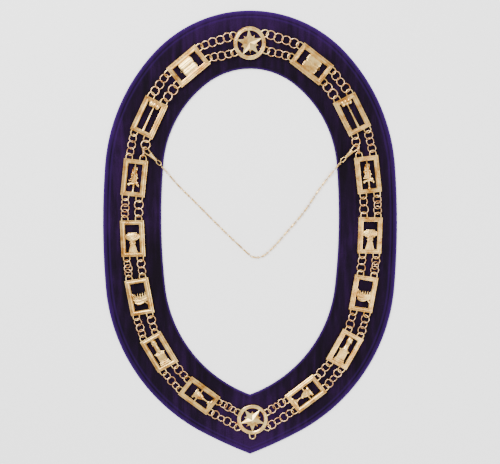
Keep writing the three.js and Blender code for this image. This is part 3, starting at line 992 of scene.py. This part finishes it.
    def _sheaf(self) -> list[Obj]:
        """A sheaf of corn: a dome of ears over a tied waist and a skirt of straw.

        Returns:
            Its parts, in the plaque's own plane.
        """
        draw = random.Random(self.seed)
        straws = []
        for k in range(-5, 6):
            low_x, waist, high_x = k * 1.02, k * 0.52, k * 0.8
            lift = self.face + 0.4 * math.cos(k * 0.3) - 0.6
            straws.append(rod([(low_x, -17.2, lift - 0.7), (k * 0.72, -11.5, lift - 0.2),
                               (waist, -5.6, lift), (high_x, 0, lift - 0.3)],
                              [0.75, 0.6, 0.42, 0.5], 1))
        tie = rod([(-3.5, -5.2, self.face - 0.4), (0, -5.7, self.face + 0.9),
                   (3.5, -5.2, self.face - 0.4)], 0.7, 2)
        dome = primitive(bpy.ops.mesh.primitive_uv_sphere_add, segments=28, ring_count=14,
                         radius=MM, location=mm(0, 2.4, self.face - 0.7))
        dome.scale = (9.0, 4.9, 1.9)
        settle(dome)
        ears = []
        for row in range(6):
            height = -1.4 + row * 1.55
            half = 8.7 * math.sqrt(max(0.05, 1 - ((height - 2.4) / 5.0) ** 2))
            count = max(3, int(half * 2 / 1.5))
            for k in range(count):
                x = -half + 2 * half * (k + 0.5) / count + draw.uniform(-0.25, 0.25)
                up = 1.9 * math.sqrt(max(0.0, 1 - (x / 9.2) ** 2 - ((height - 2.4) / 5.2) ** 2))
                ears.append(bead(x, height + draw.uniform(-0.3, 0.3), self.face - 0.75 + up,
                                 (0.6, 1.0, 0.55), -x * 6 + draw.uniform(-12, 12)))
        return [smooth(dome, 60), *ears, smooth(tie, 60), *[smooth(s, 60) for s in straws]]

    def _crown(self) -> list[Obj]:
        """A small crown of spikes on a bright curved rim, with a sceptre crossing it.

        Returns:
            Its parts, in the plaque's own plane.
        """
        body = raised([(-5.6, -7.6), (0, -8.8), (4.6, -7.4), (self.reach_x, -6), (self.reach_x, 1.6),
                       (6.6, 0), (4.6, 0.6), (2.4, -0.2), (0.2, 0.4), (-2, -0.4), (-4.2, 0),
                       (-7.4, 1.6), (-8.2, -2.6)], self.low, self.face - 0.6, 0.5, 0.5)
        spikes = [rod([(x, y - 1.6, self.face - 0.6), (x + lean * 0.5, y + 0.8, self.face - 0.1),
                       (x + lean, y + 2.6, self.face - 0.4)], [1.15, 0.7, 0.25], 1)
                  for x, y, lean in ((-7.0, 1.0, -0.8), (-4.3, 0.2, -0.4), (-1.6, 0.2, 0), (1.2, 0.6, 0.3),
                                     (4.0, 0.9, 0.5), (6.8, 1.2, 0.9))]
        jewels = [bead(x, y, self.face - 0.2, (0.6, 0.6, 0.5)) for x, y in
                  ((-7.8, 3.6), (-4.7, 2.9), (-1.6, 2.9), (1.5, 3.2), (4.5, 3.5), (7.6, 3.8))]
        rim = rod([(-6.6, -6.6, self.face - 0.5), (-3.4, -8.1, self.face), (0, -8.4, self.face + 0.1),
                   (3.6, -7.2, self.face - 0.2), (5.6, -5.8, self.face - 0.6)],
                  [0.7, 1.15, 1.3, 1.1, 0.7], 2, 0.8)
        band = rod([(-7.6, -3.4, self.face - 0.5), (-3, -4.6, self.face + 0.1),
                    (3, -4.2, self.face + 0.1), (self.reach_x, -2.4, self.face - 0.5)], 0.7, 2)
        sceptre = rod([(-9.0, 4.6, self.face - 0.6), (-6.6, 3.0, self.face - 0.2),
                       (0, -2.4, self.face + 0.2), (6.5, -7.6, self.face - 0.2),
                       (self.reach_x, -10, self.face - 0.6)], [0.5, 0.8, 0.65, 0.85, 1.2], 2)
        head = bead(-7.6, 3.9, self.face - 0.3, (1.2, 1.2, 0.8), 0, 2)
        curls = [bead(x, y, self.face - 0.2, (1.0, 0.6, 0.5), turn, 2) for x, y, turn in
                 ((-5.2, -2.2, 20), (-2.2, -2.6, -10), (0.8, -1.6, 25), (3.6, -2.4, -20),
                  (6.2, -4.2, 30), (-4, -6, 10), (1.6, -6.2, -15))]
        return [body, *[smooth(s, 60) for s in spikes], *jewels, smooth(rim, 60), smooth(band, 60),
                smooth(sceptre, 60), smooth(head, 60), *[smooth(c, 60) for c in curls]]

    def _column(self) -> list[Obj]:
        """A broken column on a panelled pedestal with a ledge and a stepped base.

        Returns:
            Its parts, in the plaque's own plane.
        """
        parts = []
        for low_y, high_y, half in ((-17.2, -15.4, 6.8), (-15.4, -13.4, 6.2), (-13.4, -12.6, 5.6),
                                    (-12.6, -2.8, 5.1), (-2.8, -1.9, 5.7), (-1.9, -0.7, 6.5),
                                    (-0.7, 0.4, 4.0)):
            edge = raised([(-half, low_y), (half, low_y), (half, high_y), (-half, high_y)],
                          self.low, self.face - 0.7 + 0.13 * half, 0.3, 0.2)
            parts.append(edge)
        panel = raised([(-3.4, -11.4), (3.4, -11.4), (3.4, -4.2), (-3.4, -4.2)], self.face - 0.4,
                       self.face + 0.35, 0.7, -0.5)
        shaft = turned([(0, 0), (3.2, 0), (3.3, 0.9), (2.9, 1.4), (2.75, 8.8), (3.0, 9.2),
                        (3.7, 10.2), (3.9, 12), (3.5, 13), (3.7, 14.4), (2.6, 15.8), (0, 16.6)],
                       16, 0.75)
        for vertex in shaft.data.vertices:
            if vertex.co.y > 9 * MM:
                vertex.co.x += 0.4 * MM * math.sin(vertex.co.y / MM * 2.3)
            flute = math.cos(8 * math.atan2(vertex.co.z, vertex.co.x))
            if vertex.co.y < 9 * MM:
                vertex.co.x *= 1 + 0.05 * flute
                vertex.co.z *= 1 + 0.05 * flute
        shaft.location = mm(0, 0, self.face - 1.2)
        lumps = [bead(x, y, self.face + 0.9, (1.2, 1.0, 0.9), turn, 2) for x, y, turn in
                 ((-1.6, 11.4, 20), (1.2, 13.2, -30), (-0.6, 14.9, 10), (1.8, 10.8, 40))]
        return [*parts, panel, smooth(settle(shaft), 40), *[smooth(b, 60) for b in lumps]]

    def _cup(self) -> list[Obj]:
        """A wide cup on a thin stem and a spread foot, pinned to the sides of the window.

        Returns:
            Its parts, in the plaque's own plane.
        """
        bowl = turned([(0, -6.8), (1.2, -6.6), (2.2, -5.2), (3.7, -2.6), (4.7, 0.6), (5.0, 3.6),
                       (5.7, 4.5), (6.8, 5.0), (6.9, 6.4), (6.3, 7.2), (0, 7.2)], 24, 0.48)
        bowl.location = mm(0, 0, self.face - 1.0)
        knop = bead(0.3, -6.0, self.face + 0.2, (1.7, 1.9, 1.5), 25, 3)
        stem = turned([(0, -14), (1.7, -14), (1.0, -12.4), (0.75, -10), (0.8, -8), (1.4, -6.5),
                       (0, -6)], 14, 0.9)
        stem.location = mm(0, 0, self.face - 0.8)
        foot = turned([(0, -17.4), (7.0, -17.4), (7.0, -16.2), (5.6, -15.4), (3.2, -14.8),
                       (1.6, -13.2), (0, -13.2)], 24, 0.4)
        foot.location = mm(0, 0, self.face - 0.6)
        pins = [rod([(x * 9.2, 0.9, self.face - 0.9), (x * 4.4, 0.6, self.face - 0.7)], 0.85, 2)
                for x in (-1, 1)]
        scrolls = []
        for x in (-1, 1):
            scrolls.append(rod([(x * 0.3, -2.2, 8.0), (x * 2.2, -0.4, 7.6), (x * 2.6, 1.8, 7.4),
                                (x * 1.2, 2.8, 7.8), (x * 0.5, 1.2, 8.0)], 0.45, 1))
        beads = [bead(x * 1.45, 5.7, self.face + 1.9 - 0.055 * (x * 1.45) ** 2, (0.6, 0.55, 0.5))
                 for x in range(-4, 5)]
        return [smooth(settle(bowl), 40), smooth(knop, 60), smooth(settle(stem), 40),
                smooth(settle(foot), 40), *[smooth(p, 60) for p in pins + scrolls], *beads]


# ------------------------------------------------------------------ medallions


@dataclass
class MedallionMaker:
    """A moulded round frame about a faceted star, with its lugs."""

    radius: float = 18.9
    hole: float = 14.3
    lug_angle: float = 28
    bottom: float = 2.3
    channel: float = 5.35
    steps: int = 72
    face: float = 6.1
    star_bottom: float = 3.4
    star_peak: float = 2.6
    star_reach: float = 15.6
    star_waist: float = 6.1
    ray_reach: float = 10.9
    moulding: tuple[tuple[float, float], ...] = (
        (0.0, 0.0), (0.06, 0.45), (0.16, 0.75), (0.27, 0.75), (0.36, 0.25), (0.44, 0.3),
        (0.58, 0.9), (0.76, 0.95), (0.9, 0.6), (1.0, 0.1))

    def _frame(self) -> Obj:
        """The round frame, its moulding spun about the middle.

        Returns:
            The closed frame.
        """
        bar = self.radius - self.hole
        profile = [(self.radius, self.bottom),
                   *[(self.radius - bar * s, self.channel + h) for s, h in self.moulding],
                   (self.hole, self.bottom)]
        turns = [math.tau * k / self.steps for k in range(self.steps)]
        points = [mm(r * math.cos(a), r * math.sin(a), z) for a in turns for r, z in profile]
        return smooth(looped("round_frame", points, len(profile)), 30)

    def _star(self) -> Obj:
        """The star: ten facets that rise from its edge to a peak.

        Returns:
            The closed star, a point up.
        """
        points, faces = [], []
        for k in range(10):
            reach = self.star_waist if k % 2 else self.star_reach
            angle = math.pi / 2 + k * math.pi / 5
            points.append(mm(reach * math.cos(angle), reach * math.sin(angle), self.face - 0.5))
        points += [mm(p.x / MM, p.y / MM, self.star_bottom) for p in points[:10]]
        points += [mm(0, 0, self.face + self.star_peak), mm(0, 0, self.star_bottom)]
        for k in range(10):
            n = (k + 1) % 10
            faces += [(k, n, 20), (k + 10, n + 10, n, k), (n + 10, k + 10, 21)]
        return outward(mesh_of("star", points, faces))

    def _ray(self, angle: float) -> Obj:
        """One small stepped ray between two of the star's points.

        Args:
            angle: Degrees from straight up.

        Returns:
            The ray.
        """
        outline = [(-4.4, 2), (4.4, 2), (4.4, 6.6), (3.0, 6.4), (2.5, 8.3), (1.2, 8.1),
                   (0, self.ray_reach), (-1.2, 8.1), (-2.5, 8.3), (-3.0, 6.4), (-4.4, 6.6)]
        ray = raised(outline, 3.6, self.face - 0.7, 0.35, 0.35)
        ray.rotation_euler.z = math.radians(angle)
        return settle(ray)

    def build(self, star_turn: float) -> list[Obj]:
        """The medallion's parts with its star turned by an angle in degrees.

        Args:
            star_turn: Degrees, 0 with a point up.

        Returns:
            The frame, the star, five rays and four lugs.
        """
        star = self._star()
        star.rotation_euler.z = math.radians(star_turn)
        rays = [self._ray(star_turn + 36 + 72 * k) for k in range(5)]
        lugs = []
        for angle in (self.lug_angle, -self.lug_angle, 180 - self.lug_angle,
                      180 + self.lug_angle):
            a = math.radians(angle)
            reach = self.radius - 0.2
            lugs.append(Lug(leg=2.6, out=2.4).build(reach * math.cos(a), reach * math.sin(a),
                                                    angle - 90))
        return [self._frame(), settle(star), *rays, *lugs]

    def pendant_loop(self) -> Obj:
        """The loop under the bottom medallion that a badge hangs from."""
        return Lug(radius=3.5, wire=1.7, out=2.0, leg=3.0).build(0, -self.radius + 0.1, 180)


# ------------------------------------------------------------------ the laid-out chain


@dataclass(frozen=True)
class Station:
    """Where a piece sits and the way that is up along the chain for it."""

    x: float
    y: float
    up_x: float
    up_y: float

    def matrix(self) -> Matrix:
        """The piece's place, its own +Y along the chain."""
        angle = math.atan2(self.up_y, self.up_x) - math.pi / 2
        return Matrix.Translation(mm(self.x, self.y, 0)) @ Matrix.Rotation(angle, 4, "Z")

    def point(self, across: float, upwards: float) -> Vector:
        """A point of the piece's own plane in the whole chain's."""
        return Vector((self.x + across * self.up_y + upwards * self.up_x,
                       self.y - across * self.up_x + upwards * self.up_y))


@dataclass(frozen=True)
class PlaqueRow:
    """One plaque down a side: its emblem, how far it is from the piece before, and its rings."""

    emblem: Emblem
    pitch: float
    outer_rings: int
    inner_rings: int


@dataclass
class ChainLayout:
    """Sets the plaques, medallions, strands and hooks out along the chain's line."""

    sideways: float = 1.5
    slide: float = -1.9
    half_length: float = 590
    top_turn: float = 4
    rows: tuple[PlaqueRow, ...] = (
        PlaqueRow(Emblem.BOOK, 77.4, 4, 3), PlaqueRow(Emblem.GAVEL, 75.7, 3, 2),
        PlaqueRow(Emblem.SWORD, 73.7, 3, 2), PlaqueRow(Emblem.SHEAF, 72.5, 3, 2),
        PlaqueRow(Emblem.CROWN, 71.1, 3, 2), PlaqueRow(Emblem.COLUMN, 72.5, 3, 2),
        PlaqueRow(Emblem.CUP, 73.5, 3, 2))

    def station(self, side: int, distance: float) -> Station:
        """Where a piece sits at a distance down one side.

        Args:
            side: -1 for the left, 1 for the right.
            distance: Millimetres from the top medallion.

        Returns:
            The place.
        """
        placed = distance + side * self.slide
        mirror = -side if placed < 0 else side
        x, y, heading = CHAIN_LINE.at(abs(placed))
        return Station(mirror * x + self.sideways, y, -mirror * math.cos(heading),
                       -math.sin(heading))

    def places(self, side: int) -> list[Station]:
        """The stations of one side, both medallions included.

        Args:
            side: -1 for the left, 1 for the right.

        Returns:
            The top medallion's place, the seven plaques', and the bottom medallion's.
        """
        distances, total = [0.0], 0.0
        for row in self.rows:
            total += row.pitch
            distances.append(total)
        found = [self.station(side, d) for d in distances[1:]]
        return [self.station(1, 0), *found, self.station(1, self.half_length)]

    def lug(self, places: Sequence[Station], index: int, side: int, outer: bool,
            upper: bool) -> Vector:
        """The middle of one lug's hole.

        Args:
            places: The stations of one side.
            index: Which of them.
            side: -1 for the left, 1 for the right.
            outer: The lug nearer the outer edge.
            upper: The lug nearer the top medallion.

        Returns:
            The point, in mm.
        """
        place = places[index]
        if 0 < index < len(places) - 1:
            across = (side if outer else -side) * Lug.across
            reach = PlaqueFrame.length / 2 + Lug.out
            return place.point(across, reach if upper else -reach)
        maker = MedallionMaker()
        top = index == 0
        angle = math.radians(maker.lug_angle) * (1 if outer == top else -1)
        reach = maker.radius + Lug.out
        spot = Vector((side * reach * math.cos(angle), reach * math.sin(angle)))
        if top:
            spot.rotate(Matrix.Rotation(math.radians(self.top_turn), 2))
        return Vector((place.x, place.y)) + spot


@dataclass
class RingStrand:
    """A run of equal jump rings linked through each other and through a lug at each end."""

    radius: float = 4.75
    wire: float = 1.25
    level: float = 5.5
    floor: float = 2.25
    lug_play: float = 1.5
    lap: float = 0.9
    sway: float = 0.5
    end_sway: float = 0.2
    least_roll: float = 17
    most_roll: float = 30
    pattern: Obj | None = None

    def _pattern(self) -> Obj:
        """The one ring that every strand copies.

        Returns:
            The ring, lying flat at the origin.
        """
        if self.pattern is None:
            self.pattern = smooth(ring_of(self.radius, self.wire, 26, 7), 60)
        return self.pattern

    def build(self, start: Vector, end: Vector, count: int, draw: random.Random,
              upright: int | None = None) -> Obj:
        """The strand from one lug's hole to the next.

        Args:
            start: Middle of the first lug's hole, in mm.
            end: Middle of the last.
            count: How many rings.
            draw: The random draws for how they lie.
            upright: The ring that stands on edge, if one does.

        Returns:
            The rings as one object.
        """
        way = end - start
        span, heading = way.length, math.atan2(way.y, way.x)
        slack_reach = self.radius + self.lug_play
        pitch = (span - 2 * slack_reach) / max(1, count - 1)
        tight = 2 * self.radius - self.wire * self.lap
        grow = 1.0
        if pitch > tight:
            grow = span / (2 * slack_reach + tight * (count - 1))
            pitch, slack_reach = tight * grow, slack_reach * grow
        rings = []
        for k in range(count):
            along = slack_reach + k * pitch
            most = self.sway if 0 < k < count - 1 else self.end_sway
            sway = draw.uniform(-most, most)
            roll = (1 if k % 2 else -1) * math.radians(draw.uniform(self.least_roll, self.most_roll))
            if k == upright:
                roll = math.radians(90)
            size = self.radius * grow
            lift = abs(math.sin(roll)) * size + self.wire / 2 + self.floor
            height = max(self.level - 0.6, lift)
            place = (Matrix.Translation(mm(start.x, start.y, 0))
                     @ Matrix.Rotation(heading, 4, "Z")
                     @ Matrix.Translation(mm(along, sway, height))
                     @ Euler((roll, math.radians(draw.uniform(-4, 4)),
                              math.radians(draw.uniform(-180, 180))), "ZYX").to_matrix().to_4x4())
            rings.append(placed_copy(self._pattern(), place @ Matrix.Scale(grow, 4), "ring"))
        return joined(rings)


# ------------------------------------------------------------------ snap hooks


@dataclass
class SnapHook:
    """A snap hook lying along its own +X: a wire bend, a sprung gate, a barrel and a swivel."""

    wire: float = 1.5
    bend_radius: float = 3
    bend_middle: float = 6.4
    base_spread: float = 1.9
    barrel_length: float = 11
    hinge_x: float = -1.2
    gate_gap: float = 0.45
    pitch: float = 8
    gap: float = 0.3
    ring_radius: float = 5.2
    crosses_at: float = 0.62
    ring_wire: float = 1.1
    eye_radius: float = 2.4
    ring_up: float = 6.0

    def place(self, side: int, ring_middle: Vector, strand_up: Vector, heading: float) -> Matrix:
        """The hook's place, so that its bend holds its ring.

        Args:
            side: -1 left, 1 right.
            ring_middle: The ring's middle, in mm.
            strand_up: The way up the strand.
            heading: The way that the hook points, in degrees.

        Returns:
            The matrix from the hook's own millimetres to the whole chain's metres.
        """
        reach = math.sqrt(self.ring_radius ** 2 - self.crosses_at ** 2)
        held = ring_middle + strand_up * reach
        level = 2.2 + self.gap + self.ring_radius + self.ring_wire / 2 + self.crosses_at
        turn = (Matrix.Rotation(math.radians(heading), 4, "Z")
                @ Matrix.Rotation(-math.radians(self.pitch), 4, "Y"))
        laid = Matrix.Rotation(0 if side < 0 else math.pi, 4, "X")
        shift = self.gap + (self.wire + self.ring_wire) / 2 - self.bend_middle - self.bend_radius
        return (Matrix.Translation(mm(held.x, held.y, level)) @ turn
                @ Matrix.Translation(mm(shift, 0, 0)) @ laid)

    def body(self) -> Obj:
        """The barrel with its collar, and the bent wire.

        Returns:
            The piece in the hook's own frame.
        """
        barrel = turned([(0, 0), (2.4, 0), (2.95, -0.35), (3.0, -0.9), (2.55, -1.5), (2.6, -2.2),
                         (2.3, -5.5), (1.8, -8.6), (1.75, -9.6), (2.05, -10.0), (1.95, -10.8),
                         (1.5, -11), (0, -11)], 24)
        barrel.rotation_euler.z = -math.pi / 2
        settle(barrel)
        bend = [(self.bend_middle + self.bend_radius * math.cos(a),
                 self.bend_radius * math.sin(a), 0)
                for a in (math.pi / 2 - k * math.pi / 8 for k in range(9))]
        wire = rod([(-1.5, self.base_spread - 0.2, 0), (0, self.base_spread, 0), *bend],
                   self.wire / 2, 3)
        cheeks = [bead(self.hinge_x, -self.base_spread, z, (1.15, 1.15, 0.45), 0, 2)
                  for z in (-1.35, 1.35)]
        return joined([smooth(barrel, 35), smooth(wire, 60), *[smooth(c, 60) for c in cheeks]])

    def gate(self) -> Obj:
        """The gate: a slim wire from its hinge to the bend's end.

        Returns:
            The piece in the hook's own frame.
        """
        tip = (self.bend_middle - self.gate_gap, -self.bend_radius, 0)
        hinge = (self.hinge_x, -self.base_spread, 0)
        middle = [(a + b) / 2 for a, b in zip(hinge, tip)]
        bar = rod([hinge, middle, tip], [0.8, 0.62, 0.6], 3)
        return smooth(bar, 60)

    def swivel(self) -> Obj:
        """The swivel: a neck in the barrel's end and a long flat eye.

        Returns:
            The piece in the hook's own frame.
        """
        middle = -self.barrel_length - self.gap - self.eye_radius
        r = self.eye_radius - 0.5
        half = [(middle + r * math.cos(a), r * math.sin(a), 0)
                for a in (-math.pi / 2 + k * math.pi / 6 for k in range(7))]
        far = [(middle - 3 + r * math.cos(a), r * math.sin(a), 0)
               for a in (math.pi / 2 + k * math.pi / 6 for k in range(7))]
        eye = rod([*half, *far, half[0]], 0.5, 2)
        neck = rod([(middle + 1.6, 0, 0), (-self.barrel_length + 1.5, 0, 0)], 0.7, 2)
        return joined([smooth(eye, 60), smooth(neck, 60)])

    def build(self, word: str, matrix: Matrix, finishes: Finishes) -> None:
        """Places and dresses one hook's three pieces.

        Args:
            word: "left" or "right".
            matrix: The hook's place.
            finishes: The finishes of the whole object.
        """
        pieces = (("body", self.body(), ROOT), ("gate", self.gate(), f"{word}_gate"),
                  ("swivel", self.swivel(), ROOT))
        for part, made, rides_on in pieces:
            made.data.transform(matrix)
            node_name = f"{word}_hook_{part}"
            finish_piece(made, f"{word}_snap_{part}", finishes.chain, body=rides_on,
                         replaces=[node_name])


# ------------------------------------------------------------------ the drape chain


@dataclass
class DrapeChain:
    """The fine chain between the hooks: long flat links, each followed by three small rings."""

    repeat: float = 12.3
    bar_length: float = 7.4
    ring_radius: float = 1.15
    ring_wire: float = 0.62
    route: tuple[tuple[float, float, float], ...] = (
        (-104.8, 88.7, 5.1), (-98.4, 81, 3.6), (-84.6, 64.5, 1.4), (-66.5, 46.5, 1.3),
        (-48.5, 28, 1.3), (-30, 9.5, 1.3), (-15.5, -4.5, 1.3), (-0.7, -18, 1.3),
        (6.7, -21.2, 1.3), (16, -19.4, 1.3), (28.5, -8.5, 1.3), (42, 7, 1.3), (58, 25.5, 1.3),
        (69, 40, 1.3), (80.5, 58, 1.3), (93, 75, 1.7), (100.6, 85, 3.6), (106.9, 92.4, 5.1))

    def _line(self) -> list[Vector]:
        """The route as many short steps of a smooth curve through its points.

        Returns:
            The points, in mm.
        """
        p = [Vector(point) for point in self.route]
        p = [p[0] * 2 - p[1], *p, p[-1] * 2 - p[-2]]
        line = []
        for a, b, c, d in zip(p, p[1:], p[2:], p[3:]):
            for k in range(24):
                t = k / 24
                line.append(0.5 * (2 * b + (c - a) * t + (2 * a - 5 * b + 4 * c - d) * t * t
                                   + (3 * b - a - 3 * c + d) * t ** 3))
        return [*line, p[-2]]

    def _bar(self) -> Obj:
        """One long link: a flat bar with an eye at each end.

        Returns:
            The link, along X at the origin.
        """
        half = self.bar_length / 2
        bar = raised([(-half + 1.3, -0.85), (half - 1.3, -0.85), (half - 1.3, 0.85),
                      (-half + 1.3, 0.85)], -0.55, 0.35, 0.3, 0.25)
        eyes = []
        for end in (-1, 1):
            eye = ring_of(0.85, 0.6, 12, 5)
            eye.location = mm(end * (half - 0.85), 0, 0)
            eyes.append(settle(eye))
        return joined([bar, *eyes])

    def build(self, finishes: Finishes) -> Obj:
        """Makes the chain along its route.

        Args:
            finishes: The finishes of the whole object.

        Returns:
            The whole chain as one object.
        """
        line = self._line()
        steps = [0.0]
        for a, b in zip(line, line[1:]):
            steps.append(steps[-1] + (b - a).length)
        total, count = steps[-1], round(steps[-1] / self.repeat)
        repeat = total / count
        bar, ring = self._bar(), ring_of(self.ring_radius, self.ring_wire, 12, 5)
        links, draw = [], random.Random(5)

        def put(pattern: Obj, distance: float, roll: float) -> None:
            """Sets a link at a distance along the route.

            Args:
                pattern: The link to copy.
                distance: Millimetres along the route.
                roll: Radians about its own length.
            """
            index = max(1, next((i for i, s in enumerate(steps) if s >= distance),
                                len(steps) - 1))
            a, b = line[index - 1], line[index]
            share = (distance - steps[index - 1]) / max(1e-6, steps[index] - steps[index - 1])
            place, way = a.lerp(b, share), (b - a).normalized()
            turn = way.to_track_quat("X", "Z").to_matrix().to_4x4()
            matrix = Matrix.Translation(place * MM) @ turn @ Matrix.Rotation(roll, 4, "X")
            links.append(placed_copy(pattern, matrix, "link"))

        for k in range(count):
            start = k * repeat
            put(bar, start + 1.6 + self.bar_length / 2, math.radians(draw.uniform(-25, 25)))
            for n, roll in enumerate((75, -15, 75)):
                put(ring, start + 1.6 + self.bar_length + 0.35 + n * 1.45,
                    math.radians(roll + draw.uniform(-15, 15)))
        for end in (0.2, total - 0.2):
            put(ring, end, math.radians(80))
        chain = joined(links)
        discard(bar, ring)
        return finish_piece(smooth(chain, 50), "drape_links", finishes.chain,
                            replaces=["drape_chain"])


# ------------------------------------------------------------------ the whole object


@dataclass
class ChainOfOffice:
    """Everything that is worn: collar, plaques, medallions, strands, hooks and drape chain."""

    layout: ChainLayout = field(default_factory=ChainLayout)
    strands: RingStrand = field(default_factory=RingStrand)
    seed: int = 3
    hooked_strand: int = 3
    hook_headings: tuple[float, float] = (135, 45)

    def build(self, finishes: Finishes) -> None:
        """Builds every piece in order.

        Args:
            finishes: The finishes of the whole object.
        """
        VelvetCollar().build(finishes.velvet)
        self._plaques(finishes)
        self._medallions(finishes)
        for side, word in ((-1, "left"), (1, "right")):
            self._side(side, word, finishes)
        discard(self.strands.pattern)
        DrapeChain().build(finishes)

    def _plaques(self, finishes: Finishes) -> None:
        """One pattern for each emblem, copied to both sides.

        Args:
            finishes: The finishes of the whole object.
        """
        maker = EmblemMaker()
        for index, row in enumerate(self.layout.rows):
            pattern = joined([*PlaqueFrame().build(), *maker.build(row.emblem)])
            for side, word in ((-1, "left"), (1, "right")):
                place = self.layout.places(side)[index + 1]
                name = f"{word}_{row.emblem.value}"
                made = placed_copy(pattern, place.matrix(), name)
                finish_piece(made, f"{name}_plaque", finishes.cast, replaces=[name])
            discard(pattern)

    def _medallions(self, finishes: Finishes) -> None:
        """The top and the bottom medallion.

        Args:
            finishes: The finishes of the whole object.
        """
        maker = MedallionMaker()
        places = self.layout.places(1)
        top = joined(maker.build(0))
        top.data.transform(Matrix.Translation(mm(places[0].x, places[0].y, 0))
                           @ Matrix.Rotation(math.radians(self.layout.top_turn), 4, "Z"))
        finish_piece(top, "top_star_medallion", finishes.star, replaces=["medallion_top"])
        bottom = joined([*maker.build(180), maker.pendant_loop()])
        bottom.data.transform(Matrix.Translation(mm(places[-1].x, places[-1].y, 0)))
        finish_piece(bottom, "bottom_star_medallion", finishes.star,
                     replaces=["medallion_bottom"])

    def _side(self, side: int, word: str, finishes: Finishes) -> None:
        """One side's strands, and the hook on the third inner one.

        Args:
            side: -1 for the left, 1 for the right.
            word: "left" or "right".
            finishes: The finishes of the whole object.
        """
        places = self.layout.places(side)
        counts = [(row.outer_rings, row.inner_rings) for row in self.layout.rows] + [(4, 3)]
        draw = random.Random(self.seed + side)
        for index in range(1, len(places)):
            for outer in (True, False):
                start = self.layout.lug(places, index, side, outer, True)
                end = self.layout.lug(places, index - 1, side, outer, False)
                count = counts[index - 1][0 if outer else 1]
                hooked = index == self.hooked_strand and not outer
                rings = self.strands.build(start, end, count, draw, 0 if hooked else None)
                name = f"{word}_{'outer' if outer else 'inner'}_strand_{index}"
                finish_piece(rings, f"{name}_rings", finishes.wire, replaces=[name])
                if hooked:
                    up = (end - start).normalized()
                    hook = SnapHook()
                    heading = self.hook_headings[0 if side < 0 else 1]
                    matrix = hook.place(side, start + up * hook.ring_up, up, heading)
                    hook.build(word, matrix, finishes)


# ------------------------------------------------------------------ studio


@dataclass
class Studio:
    """A white surface, wide soft lights and the camera."""

    camera_place: tuple[float, float, float] = (0, 0.1234, 0.929)
    looks_at: tuple[float, float, float] = (0, 0.0093, 0)
    lens: float = 56.2
    sensor: float = 36
    surface: float = 6
    world_strength: float = 1.35

    def build(self) -> None:
        """Sets up the floor, the lights and the camera."""
        floor = primitive(bpy.ops.mesh.primitive_plane_add, size=self.surface, location=(0, 0, FLOOR_Z))
        settle(floor)
        floor.name = "floor"
        floor.data.materials.append(Paper().make())
        world = bpy.data.worlds.new("studio")
        world.use_nodes = True
        background = world.node_tree.nodes["Background"]
        background.inputs["Color"].default_value = linear("ffffff")
        background.inputs["Strength"].default_value = self.world_strength
        bpy.context.scene.world = world
        self._softbox("key", (-0.7, 0.9, 1.3), 1.0, 48)
        self._softbox("fill", (0.9, -0.4, 1.2), 1.2, 18)
        self._camera()

    def _softbox(self, name: str, place: tuple[float, float, float], size: float,
                 power: float) -> None:
        """One square light that faces the object.

        Args:
            name: The object's name.
            place: Metres.
            size: Its side, in metres.
            power: Watts.
        """
        light = bpy.data.lights.new(name, "AREA")
        light.energy, light.size = power, size
        lamp = bpy.data.objects.new(name, light)
        lamp.location = place
        lamp.rotation_euler = (-Vector(place)).to_track_quat("-Z", "Y").to_euler()
        bpy.context.scene.collection.objects.link(lamp)

    def _camera(self) -> None:
        """The camera, nearly overhead."""
        data = bpy.data.cameras.new("camera")
        data.lens, data.sensor_width = self.lens, self.sensor
        data.clip_start, data.clip_end = 0.01, 20
        camera = bpy.data.objects.new("camera", data)
        camera.location = self.camera_place
        way = Vector(self.looks_at) - Vector(self.camera_place)
        camera.rotation_euler = (math.atan2(way.y, -way.z), 0, 0)
        bpy.context.scene.collection.objects.link(camera)
        bpy.context.scene.camera = camera


def main() -> None:
    """Builds the studio and the chain of office."""
    logging.basicConfig(level=logging.INFO, format="%(name)s %(message)s")
    Studio().build()
    ChainOfOffice().build(Finishes.make())
    bpy.context.view_layer.update()


if __name__ == "__main__":
    main()
